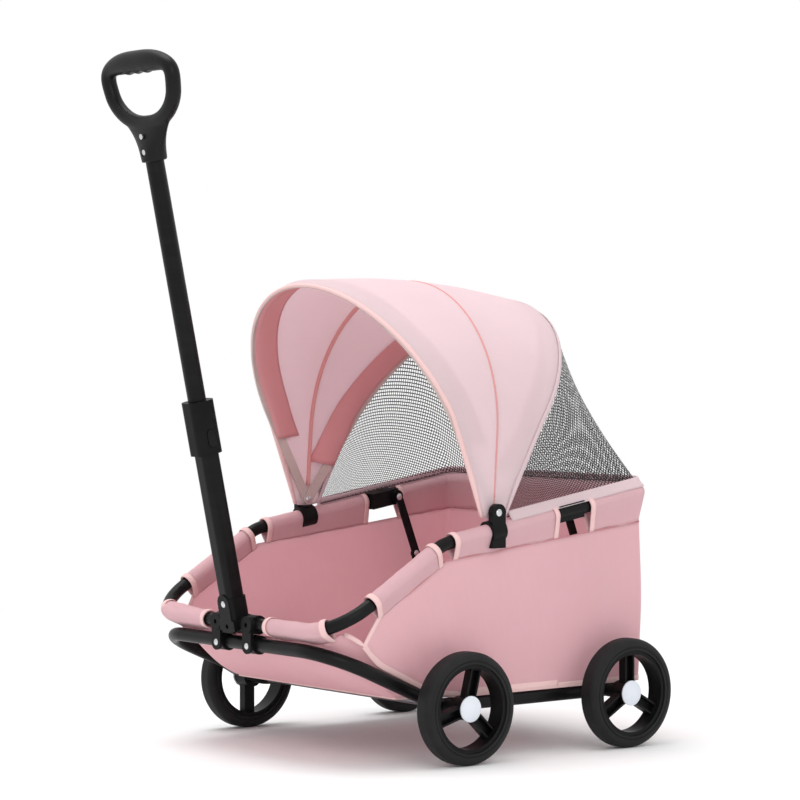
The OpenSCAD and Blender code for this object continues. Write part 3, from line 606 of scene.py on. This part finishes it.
def bind_corner(grid, side, tag):
    """The bindings of one front corner: round its notch, and down its seam."""
    columns = [side * k % len(grid) for k in range(notch_column() - 4, notch_column() + 6)]
    edge = sweep(f"basket_notch_binding_{tag}", grid[columns, -1], ribbon_profile(2.6, 6.0), TAPE)
    blend_walls(edge)
    line = corner_seam(grid, side)
    across = (side * 1.0, -0.25, 0.1)
    band = sweep(f"basket_corner_binding_{tag}", line, ribbon_profile(9.0, 2.4), TAPE, down=across)
    blend_walls(band)


def build_floor():
    """The basket's cloth floor, which sags a little between its edge and its middle."""
    sag = 1.2
    half = half_outline(WALL_X - 1.0, FOOT_FRONT_Y + 0.5, REAR_Y - 0.5, *FOOT_CORNERS)
    half[:, 0] = np.minimum(half[:, 0], floor_half(half[:, 1]) - 0.5)
    loop = both_halves(half)
    rings = [
        np.column_stack([loop * s, np.full(len(loop), FLOOR_Z - sag * (1 - s) * s * 4)])
        for s in np.linspace(1.0, 0.02, 12)
    ]
    floor = grid_object("basket_floor_cloth", np.stack(rings, axis=1), FLOOR_PINK, 0.9, loop=True)
    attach(floor, "chassis")
    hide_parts("basket_floor")


def build_mat():
    """A thin padded mat on the floor board, with a round edge and two sewn channels."""
    half_x, half_y, thickness, squareness = 168.0, 196.0, 8.0, 8.0
    gx, gy = np.meshgrid(np.linspace(-1, 1, 61), np.linspace(-1, 1, 71), indexing="ij")
    edge = np.maximum(np.abs(gx), np.abs(gy))
    round_off = (np.abs(gx) ** squareness + np.abs(gy) ** squareness) ** (1 / squareness)
    reach = edge / np.maximum(round_off, 1e-6)
    px = gx * half_x * reach
    py = gy * half_y * reach
    crown = np.sqrt(np.clip(1 - edge ** 10, 0, 1))
    channel = sum(np.exp(-((py - c) / 5.0) ** 2) for c in (-66.0, 66.0))
    height = thickness * crown * (1 - 0.55 * channel * crown)
    grid = np.stack([px, py, BOARD_TOP + 0.6 + height], axis=2)
    top = grid_object("floor_mat", grid, PINK, 1.4)
    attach(top, "chassis")


# ---- Sleeves on the ring -------------------------------------------------------------------------
def teardrop(radius, hang, gap=1.0, sides=40):
    """Profile of cloth that wraps a tube and meets itself below it, as (side, down) offsets."""
    psi = math.acos(min(0.98, radius / hang))
    around = np.linspace(psi, 2 * math.pi - psi, sides)
    arc = np.stack([radius * np.sin(around), radius * np.cos(around)], axis=1)
    along = np.linspace(0, 1, 8)[:, None]
    tip_a, tip_b = np.array([gap, hang]), np.array([-gap, hang])
    down_a = tip_a + (arc[0] - tip_a) * along[:-1]
    down_b = arc[-1] + (tip_b - arc[-1]) * along[1:]
    return np.concatenate([down_a, arc, down_b])


RING_LINE = bent_path(RING_PATH, RING_BENDS, 2.5)
SLEEVE_R = RING_R + 2.0


def ring_stretch(first, last):
    """The ring's centre line between the points of it that are nearest to two places."""
    a = int(np.argmin(np.linalg.norm(RING_LINE - np.array(first), axis=1)))
    b = int(np.argmin(np.linalg.norm(RING_LINE - np.array(last), axis=1)))
    return np.concatenate([[first], RING_LINE[min(a, b) + 1:max(a, b)], [last]])


def sleeve_rows(line, hangs, radii, down):
    """The grid of cloth round part of the ring, with its hang and radius at each point of the line."""
    side, low = cross_frames(line, down)
    profile = np.stack([teardrop(r, h) for r, h in zip(radii, hangs)])
    return line[:, None] + profile[..., :1] * side[:, None] + profile[..., 1:] * low[:, None]


def rail_point(x, y):
    """A place on the centre line of the ring's side."""
    return (x, y, float(ring_z(np.array(float(y)))))


def even_line(line, step=4.0):
    """The same line with its points spaced evenly, and each point's distance along it."""
    s = np.concatenate([[0], np.cumsum(np.linalg.norm(np.diff(line, axis=0), axis=1))])
    at = np.linspace(0, s[-1], max(6, int(s[-1] / step)))
    return np.stack([np.interp(at, s, line[:, i]) for i in range(3)], axis=1), at


def bind_sleeve_end(name, line, s, hangs, down, at_start):
    """The tape folded over one end of a sleeve."""
    width, past_end = 7.5, 0.9
    reach = np.linspace(0, width, 6)
    swell = np.array([-0.2, 0.5, 0.75, 0.75, 0.7, 0.4])
    shift = np.array([past_end, 0, 0, 0, 0, 0])
    if not at_start:
        reach, swell, shift = s[-1] - reach[::-1], swell[::-1], -shift[::-1]
    tape_line = np.stack([np.interp(reach, s, line[:, i]) for i in range(3)], axis=1)
    tape_line = tape_line - shift[:, None] * tangents(tape_line)
    hang = np.interp(reach, s, hangs)
    rows = sleeve_rows(tape_line, hang + 0.8, SLEEVE_R + 0.9 + swell, down)
    band = grid_object(name, rows, TAPE, 0.8, offset=0.0)
    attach(band, "ring")
    return band


def build_sleeve(name, first, last, hang_at, down=(0, 0, -1.0), replaced=()):
    """One cloth loop round the ring and its bound ends."""
    line, s = even_line(ring_stretch(first, last))
    hangs = np.array([float(hang_at(p)) for p in line])
    ends = np.minimum(s, s[-1] - s)
    slack = 0.5 * np.sin(s * 0.13) + 0.35 * np.sin(s * 0.31 + 2.0)
    rows = sleeve_rows(line, hangs, np.full(len(line), SLEEVE_R), down)
    centre = line[:, None]
    rows = centre + (rows - centre) * (1 + (0.03 * slack * smooth(ends / 20))[:, None, None])
    piece = grid_object(name, rows, PINK, 0.9, offset=1.0)
    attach(piece, "ring")
    if replaced:
        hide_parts(*replaced)
    bands = [
        bind_sleeve_end(f"{name}_tape_a", line, s, hangs, down, True),
        bind_sleeve_end(f"{name}_tape_b", line, s, hangs, down, False),
    ]


def build_sleeves():
    """All cloth loops: two on the hinge tube, two on each side's front, and one round the rear."""
    backward = (0.0, 0.62, -0.78)
    front_end = np.array([187.8, -325.9, 189.1])  # in the bend after the hinge tube

    def front_hang(p):
        return 21.0

    def nose_hang(p):
        return 24.0

    def side_hang(p):
        return float(seam_drop(np.array(p[1])))

    for s, tag in SIDES:
        rail = s * RING_X
        cad_sleeves = ("rim_sleeves",) if tag == "r" else ()
        build_sleeve(
            f"sleeve_front_{tag}", (s * 70, *HINGE), front_end * (s, 1, 1), front_hang, backward, cad_sleeves
        )
        build_sleeve(f"sleeve_nose_{tag}", rail_point(rail, -276), rail_point(rail, -168), nose_hang)
        build_sleeve(f"sleeve_side_{tag}", rail_point(rail, -141), rail_point(rail, 43), side_hang)
    build_sleeve("sleeve_rear", rail_point(RING_X, 102), rail_point(-RING_X, 102), side_hang)


# ---- Canopy --------------------------------------------------------------------------------------
STATIONS = 110


def arch(radius, leg, foot, t):
    """(across, up) on an arch with straight legs, at fraction t from its right foot to its left one."""
    straight, curved = leg - foot, math.pi * radius
    total = 2 * straight + curved
    d = t * total
    a = np.clip((d - straight) / radius, 0, math.pi)
    across = radius * np.cos(a)
    up = leg + radius * np.sin(a)
    up = np.where(d < straight, foot + d, np.where(d > straight + curved, foot + total - d, up))
    return across, up


def on_plane(across, up, lean, behind=0.0):
    """Points of a plane through the canopy's hinge, leaning back by lean degrees."""
    a = np.radians(lean)
    y = CANOPY[0] + up * np.sin(a) + behind * np.cos(a)
    z = CANOPY[1] + up * np.cos(a) - behind * np.sin(a)
    return np.stack(np.broadcast_arrays(across, y, z), axis=-1)


def stretched(lean, lean_a, top_a, lean_b, top_b):
    """How far the cloth's top stands from the hinge where it is stretched straight between two leans."""
    a, la, lb = np.radians(lean), math.radians(lean_a), math.radians(lean_b)
    return top_a * top_b * math.sin(lb - la) / (top_a * np.sin(a - la) + top_b * np.sin(lb - a))


def cloth_leg(lean):
    """The cloth's straight leg: it runs straight from the front bow to the rib and on to the rear bow."""
    bow_top, front, rear = FRONT_BOW_R + BOW_LEG, BOW_COVER - FRONT_LEAN, REAR_LEAN - BOW_COVER
    ahead = stretched(np.clip(lean, front, RIB_LEAN), front, bow_top, RIB_LEAN, RIB_SEAM_R)
    behind = stretched(np.clip(lean, RIB_LEAN, rear), RIB_LEAN, RIB_SEAM_R, rear, bow_top)
    return np.where(np.asarray(lean) < RIB_LEAN, ahead, behind) - FRONT_BOW_R


def cloth_points(lean, t, inset=0.0, foot=2.0):
    """Points on the canopy's cloth; inset moves them towards the inside."""
    across, up = arch(CLOTH_R - inset, cloth_leg(lean), foot, t)
    p = on_plane(across, up, lean)
    near_foot = np.clip(1 - (up - foot) / 150.0, 0, 1)
    middle = (REAR_LEAN - FRONT_LEAN) / 2
    spread = (lean - middle) / (FRONT_LEAN + REAR_LEAN) * 2
    p[..., 1] += near_foot * 20.0 * spread
    p[..., 2] -= near_foot ** 2 * (8.0 + 3.0 * (1 - spread ** 2))
    return p


def cloth_strip(name, lean, inward, profile, t, material, thickness):
    """A strip along the cloth from one lean; its profile is (reach inwards, inset) in millimetres."""
    rows = []
    for reach, inset in profile:
        base = cloth_points(np.full(STATIONS, lean), t, inset)
        radius = np.maximum(np.hypot(base[:, 1] - CANOPY[0], base[:, 2] - CANOPY[1]), 60.0)
        shifted = lean + inward * np.degrees(reach / radius)
        rows.append(cloth_points(shifted, t, inset))
    return grid_object(name, np.stack(rows, axis=1), material, thickness)


def build_canopy():
    """The hood's cloth with its bindings, seams and bow pockets."""
    t = np.linspace(0, 1, STATIONS)
    leans = np.linspace(-FRONT_LEAN - 1.2, REAR_LEAN + 1.2, 46)
    tt, ll = np.meshgrid(t, leans, indexing="ij")
    grid = cloth_points(ll, tt)
    centre = np.array([0.0, CANOPY[0], CANOPY[1] + 60])
    out = unit(grid - centre)

    def dip(lean, width):
        return np.exp(-((ll - lean) / width) ** 2)

    in_front = (ll + FRONT_LEAN) / (RIB_LEAN + FRONT_LEAN)
    behind = (ll - RIB_LEAN) / (REAR_LEAN - RIB_LEAN)
    panel = np.sin(math.pi * np.clip(np.where(ll < RIB_LEAN, in_front, behind), 0, 1))
    puff = 2.4 * panel * np.sin(math.pi * tt) ** 0.5
    wave = 0.7 * np.sin(tt * 41 + ll * 0.12) * panel
    stitched = dip(REAR_LEAN - 5.5, 0.7) + dip(6.5 - FRONT_LEAN, 0.7)
    grid = grid + (puff + wave - 0.8 * dip(RIB_LEAN, 1.1) - 0.9 * stitched)[..., None] * out
    # The hood's shell wears the paler copy of the pink cloth, with the overhead light painted in.
    hood = grid_object("canopy_cloth_shell", grid, PAINTED_LIT_PINK, 0.9, offset=0.0)
    blend_canopy(hood)
    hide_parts("canopy_fabric")

    edge_band("canopy_front_binding", leans[0], 1, TAPE, "front_bow")
    # The rear binding wears the same painted lit colours as the hood.
    edge_band("canopy_rear_binding", leans[-1], -1, PAINTED_LIT_PINK, "rear_bow")

    inner = cloth_points(np.full(STATIONS, RIB_LEAN), t * 0.94 + 0.03, 2.6)
    piping = sweep("canopy_rib_piping", inner, ribbon_profile(7.0, 4.2), CORAL, down=(0, 1.0, 0.1))
    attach(piping, "mid_rib")
    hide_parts("canopy_rib")
    outer = cloth_points(np.full(STATIONS, RIB_LEAN), t, -0.2)
    cord = sweep("canopy_outer_piping", outer, circle(0.7, 10), CORAL, down=(0, 1.0, 0.1))
    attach(cord, "mid_rib")

    pocket("canopy_front_pocket", -FRONT_LEAN - 0.9, 1, 102.0, FRONT_BOW_R, "front_bow")
    pocket("canopy_rear_pocket", REAR_LEAN + 0.9, -1, 63.0, REAR_BOW_R, "rear_bow")


def blend_canopy(piece):
    """The hood's cloth with its placement baked into its mesh."""
    middle = math.radians((REAR_LEAN - FRONT_LEAN) / 2)
    along = np.array([0.0, math.cos(middle), -math.sin(middle)]) * 100.0
    hinge = np.array([0.0, *CANOPY])
    start, end = place(hinge + along), place(hinge - along)
    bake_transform(piece)


def edge_band(name, lean, inward, material, body):
    """A folded tape over one edge of the hood."""
    t = np.linspace(0, 1, STATIONS)
    profile = ((6.0, -1.3), (2.0, -1.7), (-0.6, -0.9), (-0.9, 0.9), (-0.6, 2.0), (2.0, 2.9), (6.0, 2.5))
    band = cloth_strip(name, lean, inward, profile, t, material, 0.5)
    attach(band, body)


def pocket(name, lean, inward, bare, bow_r, body):
    """The pocket that a bow slides into: a band of darker cloth, open above the bare legs."""
    total = 2 * BOW_LEG + math.pi * CLOTH_R
    t = np.linspace(bare / total, 1 - bare / total, STATIONS)
    clear = CLOTH_R - bow_r + 3.0
    profile = (
        (-0.4, 1.0), (1.5, clear * 0.7), (4.0, clear + 2.4), (9.0, clear + 3.4),
        (17.0, clear + 2.8), (27.0, clear), (36.0, 2.6), (41.0, 1.3),
    )
    band = cloth_strip(name, lean, inward, profile, t, PINK_LINING, 0.6)
    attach(band, body)


def hem_line(t, inset=0.0):
    """The line on top of the ring that the net is sewn to, from right to left."""
    w, front, back = RING_X - 1 - inset, CANOPY[0] + 26, RING_REAR_Y - inset
    corner, rise = 13.0, 12.5
    corners = [(w, front, 0), (w, back, 0), (-w, back, 0), (-w, front, 0)]
    path = bent_path(corners, [0, corner, corner, 0], 2.0)
    s = np.concatenate([[0], np.cumsum(np.linalg.norm(np.diff(path, axis=0), axis=1))])
    at = t * s[-1]
    x, y = np.interp(at, s, path[:, 0]), np.interp(at, s, path[:, 1])
    return np.stack([x, y, ring_z(y) + rise], axis=-1)


def build_net():
    """The net from the rear bow to the ring, with its tapes."""
    t = np.linspace(0, 1, 150)
    across, up = arch(FRONT_BOW_R, BOW_LEG, 24.0, t)
    top = on_plane(across, up, REAR_LEAN, 8.0)
    low = hem_line(t)
    v = np.linspace(0, 1, 30)
    grid = top[:, None] * (1 - v)[None, :, None] + low[:, None] * v[None, :, None]
    middle = np.array([0.0, 40.0, 380.0])
    inward = unit(middle - grid)
    sag = 7.0 * np.sin(math.pi * v)[None] * np.sin(math.pi * t)[:, None] ** 0.6
    grid = grid + sag[..., None] * inward
    mesh = grid_object("canopy_net_cloth", grid, NET)
    hinge = np.array([0.0, *CANOPY])
    along = unit(np.array([0.0, 0.55, 0.83]))
    start, end = place(hinge + along * 20), place(hinge + along * 230)
    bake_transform(mesh)
    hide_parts("canopy_mesh")

    side, _ = cross_frames(low)
    inwards = side * hem_sign(side, low)
    fold = (
        (-4.0, 9.5), (-1.0, 7.6), (3.0, 4.2), (7.0, 2.2), (9.0, 1.2), (9.6, 0.0), (9.0, -1.0), (3.0, -1.2),
    )
    rows = [low + np.array([0, 0, rise]) - inwards * out for rise, out in fold]
    # The hem tape wears the hood's painted lit colours.
    hem = grid_object("net_hem_tape", np.stack(rows, axis=1), PAINTED_LIT_PINK, 0.8)
    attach(hem, "ring")

    inner = hem_line(t, 2.2) + np.array([0, 0, 1.0])
    tape = sweep("net_inner_tape", inner, ribbon_profile(1.0, 1.8), NET_TAPE)
    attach(tape, "ring")


def hem_sign(side, base):
    """-1 where the side vector points out of the basket, and 1 where it points in."""
    outward = base * np.array([1, 1, 0]) - np.array([0, 40.0, 0])
    return -np.sign((side * outward).sum(axis=1, keepdims=True))


# ---- Grip ----------------------------------------------------------------------------------------
def on_handle(points):
    """Points measured along the handle's axis, in the chassis frame."""
    a = math.radians(HANDLE_LEAN)
    p = np.array(points, float)
    y = p[..., 1] * math.cos(a) - p[..., 2] * math.sin(a)
    z = p[..., 1] * math.sin(a) + p[..., 2] * math.cos(a)
    return np.stack([p[..., 0], HINGE[0] + y, HINGE[1] + z], axis=-1)


def power(v, e):
    """A power that keeps the sign."""
    return np.sign(v) * np.abs(v) ** e


def loop_centre(a):
    """Centre line of the grip's loop: nearly straight across the top and rounder below."""
    c, s = np.cos(a), np.sin(a)
    height = np.where(c > 0, GRIP_TOP * np.sqrt(np.maximum(c, 0)), GRIP_BOTTOM * c)
    taper = (1 + 0.12 * height / GRIP_BOTTOM) / 1.04
    x = GRIP_HALF * power(s, np.where(c > 0, 0.6, 0.85)) * taper
    return np.stack([x, np.zeros_like(x), GRIP_MID + height], axis=-1)


def grip_loop(steps=200, sides=28):
    """Points and faces of the loop, whose top bar swells and has three finger bumps below."""
    a = np.linspace(0, 2 * math.pi, steps, endpoint=False)
    line = loop_centre(a)
    tangent = unit(loop_centre(a + 0.03) - loop_centre(a - 0.03))
    normal = np.stack([tangent[:, 2], np.zeros(steps), -tangent[:, 0]], axis=1)
    swell = np.clip(np.cos(a), 0, 1) ** 6
    on_bar = (np.cos(a) > 0) * (np.abs(line[:, 0]) < 33)
    bumps = on_bar * (1 + np.cos(line[:, 0] / 22.0 * 2 * math.pi)) / 2
    j = np.linspace(0, 2 * math.pi, sides, endpoint=False)
    inward = np.clip(np.cos(j) * (-1 if normal[0, 2] > 0 else 1), 0, 1)
    fingers = (2.2 * bumps - 0.8 * on_bar)[:, None] * inward[None]
    radius = (LIMB_R + BAR_SWELL * swell)[:, None] + fingers
    depth = (LIMB_R + BAR_SWELL / 2 * swell)[:, None] * np.sin(j)[None]
    flat = np.zeros_like(depth)
    points = line[:, None] + (radius * np.cos(j)[None])[..., None] * normal[:, None]
    points = points - np.stack([flat, depth, flat], axis=2)
    index = np.arange(steps * sides).reshape(steps, sides)
    after = np.roll(index, -1, axis=0)
    quads = np.stack([index, after, np.roll(after, -1, axis=1), np.roll(index, -1, axis=1)], axis=2)
    return points.reshape(-1, 3), quads.reshape(-1, 4).tolist()


def grip_neck(base, rows=30, sides=44):
    """Points and faces of the flared neck; base is the number of points before it."""
    s = np.linspace(0, 1, rows)
    height = (SOCKET + NECK_LENGTH * s)[:, None]
    half_x = (18 + 36 * s ** 1.5)[:, None]
    half_y = (17 - 8 * smooth(s))[:, None]
    k = np.linspace(0, 2 * math.pi, sides, endpoint=False)[None]
    points = np.stack([half_x * np.cos(k), half_y * np.sin(k), height * np.ones_like(k)], axis=2)
    grid = base + np.arange(rows * sides).reshape(rows, sides)
    low, up = grid[:-1], grid[1:]
    quads = np.stack([low, np.roll(low, -1, axis=1), np.roll(up, -1, axis=1), up], axis=2).reshape(-1, 4)
    return points.reshape(-1, 3), quads.tolist() + [grid[0][::-1].tolist(), grid[-1].tolist()]


def sink_screws(piece):
    """Presses a round recess into the neck's front for each screw."""
    recess_r = 0.0048
    points = np.empty(len(piece.data.vertices) * 3)
    piece.data.vertices.foreach_get("co", points)
    points = points.reshape(-1, 3)
    for height in SCREW_HEIGHTS:
        face = place(on_handle([0.0, TUBES_Y + SCREW_FACE, height]))
        out = unit(face - place(on_handle([0.0, TUBES_Y, height])))
        depth = (points - face) @ out
        aside = np.linalg.norm(points - face - depth[:, None] * out, axis=1)
        sunk = (aside < recess_r) & (depth > 0)
        points[sunk] -= depth[sunk, None] * out
    piece.data.vertices.foreach_set("co", points.ravel())
    piece.data.update()


def build_grip():
    """A sculpted D-shaped grip, fused to its neck by a voxel remesh."""
    loop_points, faces = grip_loop()
    neck_points, neck_faces = grip_neck(len(loop_points))
    points = np.concatenate([loop_points, neck_points]) + np.array([0, TUBES_Y, 0])
    piece = mesh_object("grip_body", place(on_handle(points)), faces + neck_faces, GRIP_PLASTIC)
    remesh = piece.modifiers.new("fuse", "REMESH")
    remesh.mode = "VOXEL"
    remesh.voxel_size = 0.0012
    remesh.use_smooth_shade = True
    calm = piece.modifiers.new("calm", "SMOOTH")
    calm.factor, calm.iterations = 0.6, 22
    apply_modifiers(piece)
    sink_screws(piece)
    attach(piece, "handle_slider")
    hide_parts("grip")


def apply_modifiers(piece):
    """Turns what the modifiers show into the piece's own mesh."""
    bpy.context.view_layer.update()
    graph = bpy.context.evaluated_depsgraph_get()
    made = bpy.data.meshes.new_from_object(piece.evaluated_get(graph))
    piece.modifiers.clear()
    piece.data = made
    made.shade_smooth()


# ---- Finishes of the CAD parts that show ---------------------------------------------------------
def dress_cad_nodes():
    """Gives each CAD part that shows its material, crisp shading and small rounded edges."""
    finishes = {
        "rear_cross_bar": (FRAME_COAT, 0), "front_axle": (DARK_STEEL, 0), "rear_axle": (DARK_STEEL, 0),
        "axle_spacers": (BLACK_PLASTIC, 0.4), "axle_nuts": (DARK_STEEL, 0.3),
        "rail_plugs": (BLACK_PLASTIC, 0.6), "link_rivets": (BRIGHT_STEEL, 0),
        "rail_rivets": (BRIGHT_STEEL, 0), "floor_board": (BOARD_PLASTIC, 0.4),
        "stay_foot_pins": (BRIGHT_STEEL, 0), "canopy_pins": (BRIGHT_STEEL, 0),
        "stay_top_pins": (BRIGHT_STEEL, 0), "front_bow": (STRIP_PLASTIC, 0.4),
        "rear_bow": (STRIP_PLASTIC, 0.4), "handle_bracket": (BLACK_PLASTIC, 0.7),
        "handle_rivet": (BRIGHT_STEEL, 0), "handle_lower_tube": (FRAME_COAT, 0),
        "handle_collar": (BLACK_PLASTIC, 0.9), "release_button": (BUTTON_PLASTIC, 0.7),
        "handle_upper_tube": (FRAME_COAT, 0), "grip_screws": (BRIGHT_STEEL, 0.3),
    }
    for tag in ("l", "r"):
        finishes[f"link_bracket_{tag}"] = (BLACK_PLASTIC, 0.7)
        finishes[f"stay_foot_{tag}"] = (STAY_COAT, 0.4)
        finishes[f"canopy_bracket_{tag}"] = (BLACK_PLASTIC, 0.9)
        finishes[f"stay_bracket_{tag}"] = (BLACK_PLASTIC, 0.7)
        finishes[f"stay_upper_{tag}"] = (STAY_COAT, 0.4)
        finishes[f"stay_lower_{tag}"] = (STAY_COAT, 0.4)
        finishes[f"knee_rivet_{tag}"] = (BRIGHT_STEEL, 0)
    for corner in ("fl", "fr", "rl", "rr"):
        finishes[f"tyre_{corner}"] = (TYRE_RUBBER, 0)
        finishes[f"hub_{corner}"] = (WHEEL_PLASTIC, 0.5)
        finishes[f"cap_{corner}"] = (CAP_PLASTIC, 0)
    for name, (material, edge) in finishes.items():
        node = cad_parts[name]
        node.data.materials.clear()
        node.data.materials.append(material)
        smooth_by_angle(node)
        if edge:
            soften(node, edge)


# ---- Stage, lights and camera --------------------------------------------------------------------
def build_stage():
    """A pale floor that runs out into an even white distance."""
    s = Shader("studio_floor", 0.85, Specular_IOR_Level=0.2)
    at = s.coordinates("Object")
    distance = s.node("ShaderNodeVectorMath", operation="LENGTH", i0=at).outputs["Value"]
    grain = s.noise(at, 30.0)
    s.finish(s.blend(grain, srgb(243, 243, 243), srgb(247, 247, 247)))
    far = s.node("ShaderNodeEmission")
    far.inputs["Color"].default_value = (1, 1, 1, 1)
    s.mix_in(s.spread(distance, 0.7, 2.2), far)
    size = 60.0
    corners = [(-size, -size, 0), (size, -size, 0), (size, size, 0), (-size, size, 0)]
    floor = mesh_object("studio_floor", corners, [(0, 1, 2, 3)], s.material)


def area_light(name, place_at, aim, size, watts):
    """A round soft light at a place in the row frame, turned to its aim."""
    light = bpy.data.lights.new(name, "AREA")
    light.shape = "DISK"
    light.size = size
    light.energy = watts
    lamp = bpy.data.objects.new(name, light)
    bpy.context.scene.collection.objects.link(lamp)
    lamp.location = place_at
    lamp.rotation_euler = facing(np.array(aim, float) - np.array(place_at, float))


def facing(direction):
    """The rotation of a light or a camera that looks along a direction."""
    return Vector([float(x) for x in direction]).to_track_quat("-Z", "Y").to_euler()


def build_lights():
    """Even white surroundings, a large soft light overhead, and a fill beside the camera."""
    scene = bpy.context.scene
    scene.view_settings.view_transform = "Standard"
    world = bpy.data.worlds.new("studio")
    world.use_nodes = True
    background = world.node_tree.nodes["Background"]
    background.inputs["Color"].default_value = (1, 1, 1, 1)
    background.inputs["Strength"].default_value = 1.0
    scene.world = world
    basket = (0, 0, 0.3)
    area_light("overhead", (-0.5, -0.4, 3.2), basket, 2.2, 40)
    area_light("fill", (2.9, -1.6, 1.9), basket, 1.4, 14)


def build_camera():
    """The camera stands at the front right, a little above the basket."""
    camera = bpy.data.cameras.new("camera")
    camera.lens = 133.16
    camera.sensor_width = 36.0
    camera.clip_start, camera.clip_end = 0.1, 200.0
    holder = bpy.data.objects.new("camera", camera)
    bpy.context.scene.collection.objects.link(holder)
    holder.location = (3.290, -2.5014, 0.567)
    pitch = math.radians(1.162)
    level = math.cos(pitch)
    holder.rotation_euler = facing((-0.7859 * level, 0.6184 * level, -math.sin(pitch)))
    bpy.context.scene.camera = holder


build_camera()
build_lights()
build_stage()
build_frame_tubes()
build_sleeves()
build_basket()
build_canopy()
build_net()
build_grip()
dress_cad_nodes()
